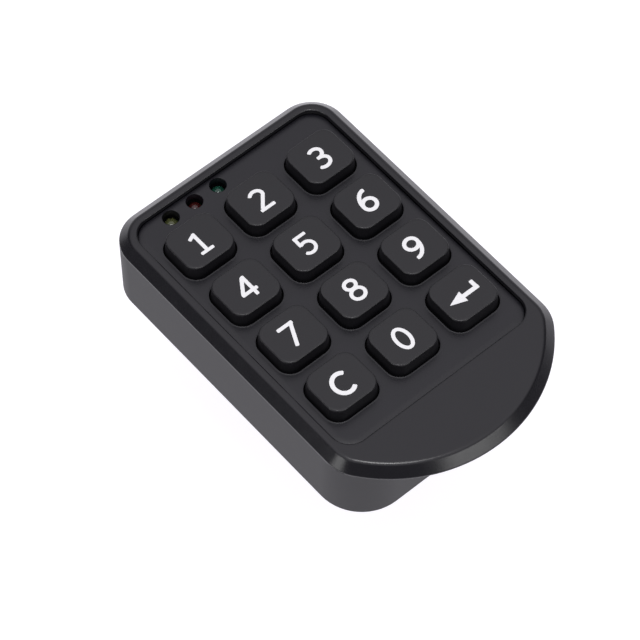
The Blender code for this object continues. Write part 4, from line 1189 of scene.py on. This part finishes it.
def build_screw(node, body, head_height, shank, pitch):
    """A pan-head screw that points up, with a cross recess and a real thread."""
    low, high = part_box(node)
    x, y = middle(node)
    radius = (high.x - low.x) / 2
    seat = low.z + head_height
    crown = head_height * CROWN_SHARE
    profile = []
    for i in range(FINE_STEPS + 1):
        rise = i / FINE_STEPS
        profile.append((radius * math.sqrt(1 - (1 - rise) ** CROWN_POWER), low.z + crown * rise))
    under = [(radius, low.z + crown, 0), (radius, seat, radius / 25), (shank, seat, 0)]
    profile += softened(under, steps=2)[1:]
    depth = shank * SCREW_THREAD_SHARE
    rings = turned(profile, SMALL_STEPS, x, y)[0]
    rings += threaded(shank, depth, pitch, seat + shank / 2, high.z - shank / 2, SMALL_STEPS, x, y)
    rings += turned([(shank * POINT_SHARE, high.z - shank / 10), (0, high.z)], SMALL_STEPS, x, y)[0]
    screw = mesh_from(node + "_turned", [(rings, False)])
    combine(screw, [phillips(x, y, radius, low.z, head_height * RECESS_SHARE)])
    settle(screw, "zinc", body, [node])


class LOCK_OT_screws(bpy.types.Operator):
    """Build the four cover screws and the cam screw"""

    bl_idname = "lock.screws"
    bl_label = "Screws"

    def execute(self, context):
        sizes = context.scene.lock_latch
        for node in COVER_SCREWS:
            build_screw(node, "case", sizes.cover_head, sizes.cover_shank, sizes.cover_pitch)
        build_screw("cam_screw", "latch", sizes.cam_screw_head, sizes.cam_shank, sizes.cam_pitch)
        return {"FINISHED"}


class LOCK_OT_barrel(bpy.types.Operator):
    """Build the threaded barrel, its hexagon nut and its toothed washer"""

    bl_idname = "lock.barrel"
    bl_label = "Barrel, nut and washer"

    def execute(self, context):
        sizes = context.scene.lock_latch
        x, y = middle("barrel")
        low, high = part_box("barrel")
        flange = (high.x - low.x) / 2
        floor = sizes.cover + FIT
        depth = sizes.thread_depth
        neck = sizes.barrel_radius - depth
        left, right = x - sizes.barrel_flats / 2, x + sizes.barrel_flats / 2
        pitch = sizes.pitch
        rings = threaded(sizes.barrel_radius, depth, pitch, low.z, -pitch / 2, TURNED_STEPS, x, y)
        rings.append(level(circle(neck, TURNED_STEPS, x, y), floor - FIT / 2))
        rings = [[(max(left, min(right, px)), py, height) for px, py, height in ring] for ring in rings]
        edge = depth / 2
        section = softened([
            (neck, floor, 0),
            (flange, floor, edge),
            (flange, high.z, edge),
            (sizes.barrel_bore, high.z, edge),
            (sizes.barrel_bore, low.z, edge),
            (neck - edge, low.z, 0),
        ])
        rings += turned(section, TURNED_STEPS, x, y)[0]
        barrel = mesh_from("barrel_thread", [(rings, True)])
        settle(barrel, "nickel", "case", ["barrel"], crease=40)
        self.build_nut(sizes, x, y)
        self.build_washer(sizes, x, y)
        return {"FINISHED"}

    def build_nut(self, sizes, x, y):
        """A hexagon nut with its corners turned off at both faces."""
        low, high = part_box("barrel_nut")
        across = (high.y - low.y) / 2
        sixth = math.pi / 3
        steps = 2 * TURNED_STEPS
        rings = []
        for start in (low.z, high.z - sizes.nut_turned):
            for i in range(FINE_STEPS + 1):
                height = start + sizes.nut_turned * i / FINE_STEPS
                cone = sizes.nut_face + min(height - low.z, high.z - height) / math.tan(sizes.nut_slope)

                def place(step, turn):
                    return min(across / math.cos(turn % sixth - sixth / 2), cone), height

                rings.append(around(steps, x, y, place))
        bore = sizes.barrel_radius + FIT
        edge = FIT
        inner = [(bore + edge, high.z), (bore, high.z - edge), (bore, low.z + edge), (bore + edge, low.z)]
        rings += turned(inner, steps, x, y)[0]
        nut = mesh_from("nut_hexagon", [(rings, True)])
        settle(nut, "nickel", "case", ["barrel_nut"], crease=25)

    def build_washer(self, sizes, x, y):
        """A washer whose teeth are each bent a little, one side up and one side down."""
        low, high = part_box("lock_washer")
        reach = (high.x - low.x) / 2
        mid = (low.z + high.z) / 2
        half = (high.z - low.z) / 2 - sizes.washer_twist
        steps = WASHER_TEETH * FINE_STEPS
        last_share = 1 - 2 / FINE_STEPS

        def toothed(side):
            def place(step, turn):
                within = 2 * (step % FINE_STEPS) / FINE_STEPS
                if within >= 1:
                    return sizes.washer_root, mid + side * half
                return reach, mid + side * half + sizes.washer_twist * (2 * within - last_share)

            return around(steps, x, y, place)

        root = sizes.washer_root - FIT / 2
        bore = sizes.barrel_radius + FIT
        inner = [(root, mid + half), (bore, mid + half), (bore, mid - half), (root, mid - half)]
        rings = [toothed(-1), toothed(1), *turned(inner, steps, x, y)[0]]
        washer = mesh_from("washer_toothed", [(rings, True)])
        settle(washer, "zinc", "case", ["lock_washer"], crease=30)


class LOCK_OT_cam(bpy.types.Operator):
    """Build the cam and its flat washer"""

    bl_idname = "lock.cam"
    bl_label = "Cam and washer"

    def execute(self, context):
        sizes = context.scene.lock_latch
        x, y = middle("spindle")
        low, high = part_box("cam")
        head = high.x - x
        half = sizes.cam_half
        corner = sizes.cam_corner
        corner_y = high.y - corner

        def outline_of(inset):
            lean = math.degrees(math.asin((half - inset) / (head - inset)))
            points = arc(x, y, head - inset, 90 + lean, 450 - lean, TURNED_STEPS)
            points += arc(x + half - corner, corner_y, corner - inset, 0, 90, CORNER_STEPS)
            return points + arc(x - half + corner, corner_y, corner - inset, 90, 180, CORNER_STEPS)

        flare = sizes.cam_edge / 2
        cam = mesh_from("cam_plate", [plate(outline_of, low.z, high.z, sizes.cam_edge, flare)])
        hole = sizes.square / 2 + FIT
        section = [(flare, low.z - OVERRUN), (flare, low.z), (0, low.z + flare), (0, high.z + OVERRUN)]
        combine(cam, [shell(lambda grow: rounded(hole + grow, hole + grow, FIT, x, y, steps=3), section)])
        settle(cam, "zinc", "latch", ["cam"])
        low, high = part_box("cam_washer")
        reach = high.x - x
        inner = sizes.cam_shank + FIT
        edge = FIT / 2
        corners = [(inner, low.z), (reach, low.z), (reach, high.z), (inner, high.z)]
        section = softened([(*corner, edge) for corner in corners])
        washer = mesh_from("washer_flat", [turned(section, TURNED_STEPS, x, y, looped=True)])
        settle(washer, "zinc", "latch", ["cam_washer"])
        return {"FINISHED"}


# The pieces that keep the frame's own shape, and their finishes
INSIDE = {
    "circuit": ["main_board"],
    "chip": ["controller_chip"],
    "black": ["buzzer", "cell_holder"],
    "can": ["position_switch", "drive_motor"],
    "zinc": ["coin_cell_left", "coin_cell_right", "gear_plate"],
    "nickel": ["contact_link", "contact_spring_left", "contact_spring_right", "motor_pinion"],
    "nylon": ["idler_gear", "spindle_gear"],
    "steel": ["idler_pin", "spindle"],
}


class LOCK_OT_inside(bpy.types.Operator):
    """Give the pieces that keep the frame's own shape their finishes"""

    bl_idname = "lock.inside"
    bl_label = "Inner pieces"

    def execute(self, context):
        for finish, nodes in INSIDE.items():
            made = finish_named(finish)
            for node in nodes:
                thing = frame["nodes"][node]
                if not thing.material_slots:
                    thing.data.materials.append(made)
                for holder in thing.material_slots:
                    holder.material = made
        return {"FINISHED"}


# The studio

class LOCK_OT_studio(bpy.types.Operator):
    """Set the pale floor, the soft lights and the camera"""

    bl_idname = "lock.studio"
    bl_label = "Studio"

    def execute(self, context):
        look = context.scene.lock_studio
        self.lay_floor(look)
        self.light_tent(context.scene, look)
        target = Vector((look.target_x, look.target_y, look.target_z))
        powers = (look.left_power, look.front_power, look.top_power)
        for (name, place), power in zip(SOFTBOXES.items(), powers):
            self.softbox(name, target, *place, power)
        far = self.far_side(look)
        back = Vector((0, 0, math.sin(look.elevation))) - far * math.cos(look.elevation)
        data = bpy.data.cameras.new("camera")
        data.lens = look.lens
        data.clip_start = 10 * MM
        camera = placed("camera", data)
        camera.location = target + back * look.distance
        camera.rotation_euler = back.to_track_quat("Z", "Y").to_euler()
        context.scene.camera = camera
        context.scene.view_settings.view_transform = "Standard"
        return {"FINISHED"}

    def far_side(self, look):
        """The level direction that the camera looks in."""
        return Vector((-math.sin(look.azimuth), math.cos(look.azimuth), 0.0))

    def lay_floor(self, look):
        """A wide pale floor just under the lock's lowest point."""
        half = look.floor_reach
        height = CAD_BOX[0][2] - FIT
        data = bpy.data.meshes.new("floor")
        corners = [(-half, -half), (half, -half), (half, half), (-half, half)]
        data.from_pydata(level(corners, height), [], [(0, 1, 2, 3)])
        floor = placed("floor", data)
        made = Recipe("pale_floor", 0.8)
        made.drift([look.floor] * 3, 60 * MM, 2.0, darker=0.995, lighter=1.0)
        made.drift(look.tint, 60 * MM, 2.0, darker=0.995, lighter=1.0, socket="Emission Color")
        made.feed("Emission Strength", look.glow)
        data.materials.append(made.material)

    def light_tent(self, scene, look):
        """A world that is bright overhead and behind the lock, and dim near the horizon."""
        world = bpy.data.worlds.new("light_tent")
        world.use_nodes = True
        scene.world = world
        tent = Nodes(world.node_tree)
        place = tent.add("ShaderNodeTexCoord").outputs["Generated"]
        height = tent.add("ShaderNodeSeparateXYZ", {"Vector": place}).outputs["Z"]
        pair = {0: place, 1: self.far_side(look)}
        behind = tent.add("ShaderNodeVectorMath", pair, operation="DOT_PRODUCT").outputs["Value"]
        soft = {"interpolation_type": "SMOOTHSTEP"}
        above = tent.span(height, look.zenith_starts, look.zenith_full, look.horizon, look.zenith, **soft)
        sweep = tent.span(behind, look.backdrop_starts, look.backdrop_full, 0.0, look.backdrop, **soft)
        brighter = tent.add("ShaderNodeMath", {0: above, 1: sweep}, operation="MAXIMUM").outputs["Value"]
        tent.fill(tent.tree.nodes["Background"], {"Color": (*look.tint, 1.0), "Strength": brighter})

    def softbox(self, name, target, direction, distance, width, height, power):
        """A rectangular area light that faces the lock from the given direction."""
        data = bpy.data.lights.new(name, "AREA")
        data.shape = "RECTANGLE"
        data.size = width
        data.size_y = height
        data.energy = power
        light = placed(name, data)
        light.location = target + Vector(direction).normalized() * distance
        light.rotation_euler = (light.location - target).to_track_quat("Z", "Y").to_euler()


OPERATORS = [
    LOCK_OT_case,
    LOCK_OT_panel,
    LOCK_OT_keys,
    LOCK_OT_lamps,
    LOCK_OT_mat,
    LOCK_OT_cover,
    LOCK_OT_screws,
    LOCK_OT_barrel,
    LOCK_OT_cam,
    LOCK_OT_inside,
    LOCK_OT_studio,
]


# The groups of sizes and finishes, by their names on the scene
GROUPS = {
    "lock_case": CaseSizes,
    "lock_keypad": KeypadSizes,
    "lock_latch": LatchSizes,
    "lock_finishes": Finishes,
    "lock_studio": Studio,
}


class LOCK_PT_sidebar(bpy.types.Panel):
    """Lists the lock's sizes, finishes and build steps"""

    bl_label = "Cabinet lock"
    bl_idname = "LOCK_PT_sidebar"
    bl_space_type = "VIEW_3D"
    bl_region_type = "UI"
    bl_category = "Cabinet lock"

    def draw(self, context):
        for name, group in GROUPS.items():
            box = self.layout.box()
            for size in group.__annotations__:
                box.prop(getattr(context.scene, name), size)
        for step in OPERATORS:
            self.layout.operator(step.bl_idname)


def register():
    for name, group in GROUPS.items():
        bpy.utils.register_class(group)
        setattr(bpy.types.Scene, name, PointerProperty(type=group))
    for step in OPERATORS:
        bpy.utils.register_class(step)
    bpy.utils.register_class(LOCK_PT_sidebar)


def unregister():
    bpy.utils.unregister_class(LOCK_PT_sidebar)
    for step in reversed(OPERATORS):
        bpy.utils.unregister_class(step)
    for name, group in reversed(GROUPS.items()):
        delattr(bpy.types.Scene, name)
        bpy.utils.unregister_class(group)


def main():
    register()
    bpy.ops.lock.case()
    bpy.ops.lock.panel()
    bpy.ops.lock.keys()
    bpy.ops.lock.lamps()
    bpy.ops.lock.mat()
    bpy.ops.lock.cover()
    bpy.ops.lock.screws()
    bpy.ops.lock.barrel()
    bpy.ops.lock.cam()
    bpy.ops.lock.inside()
    bpy.ops.lock.studio()


if __name__ == "__main__":
    main()
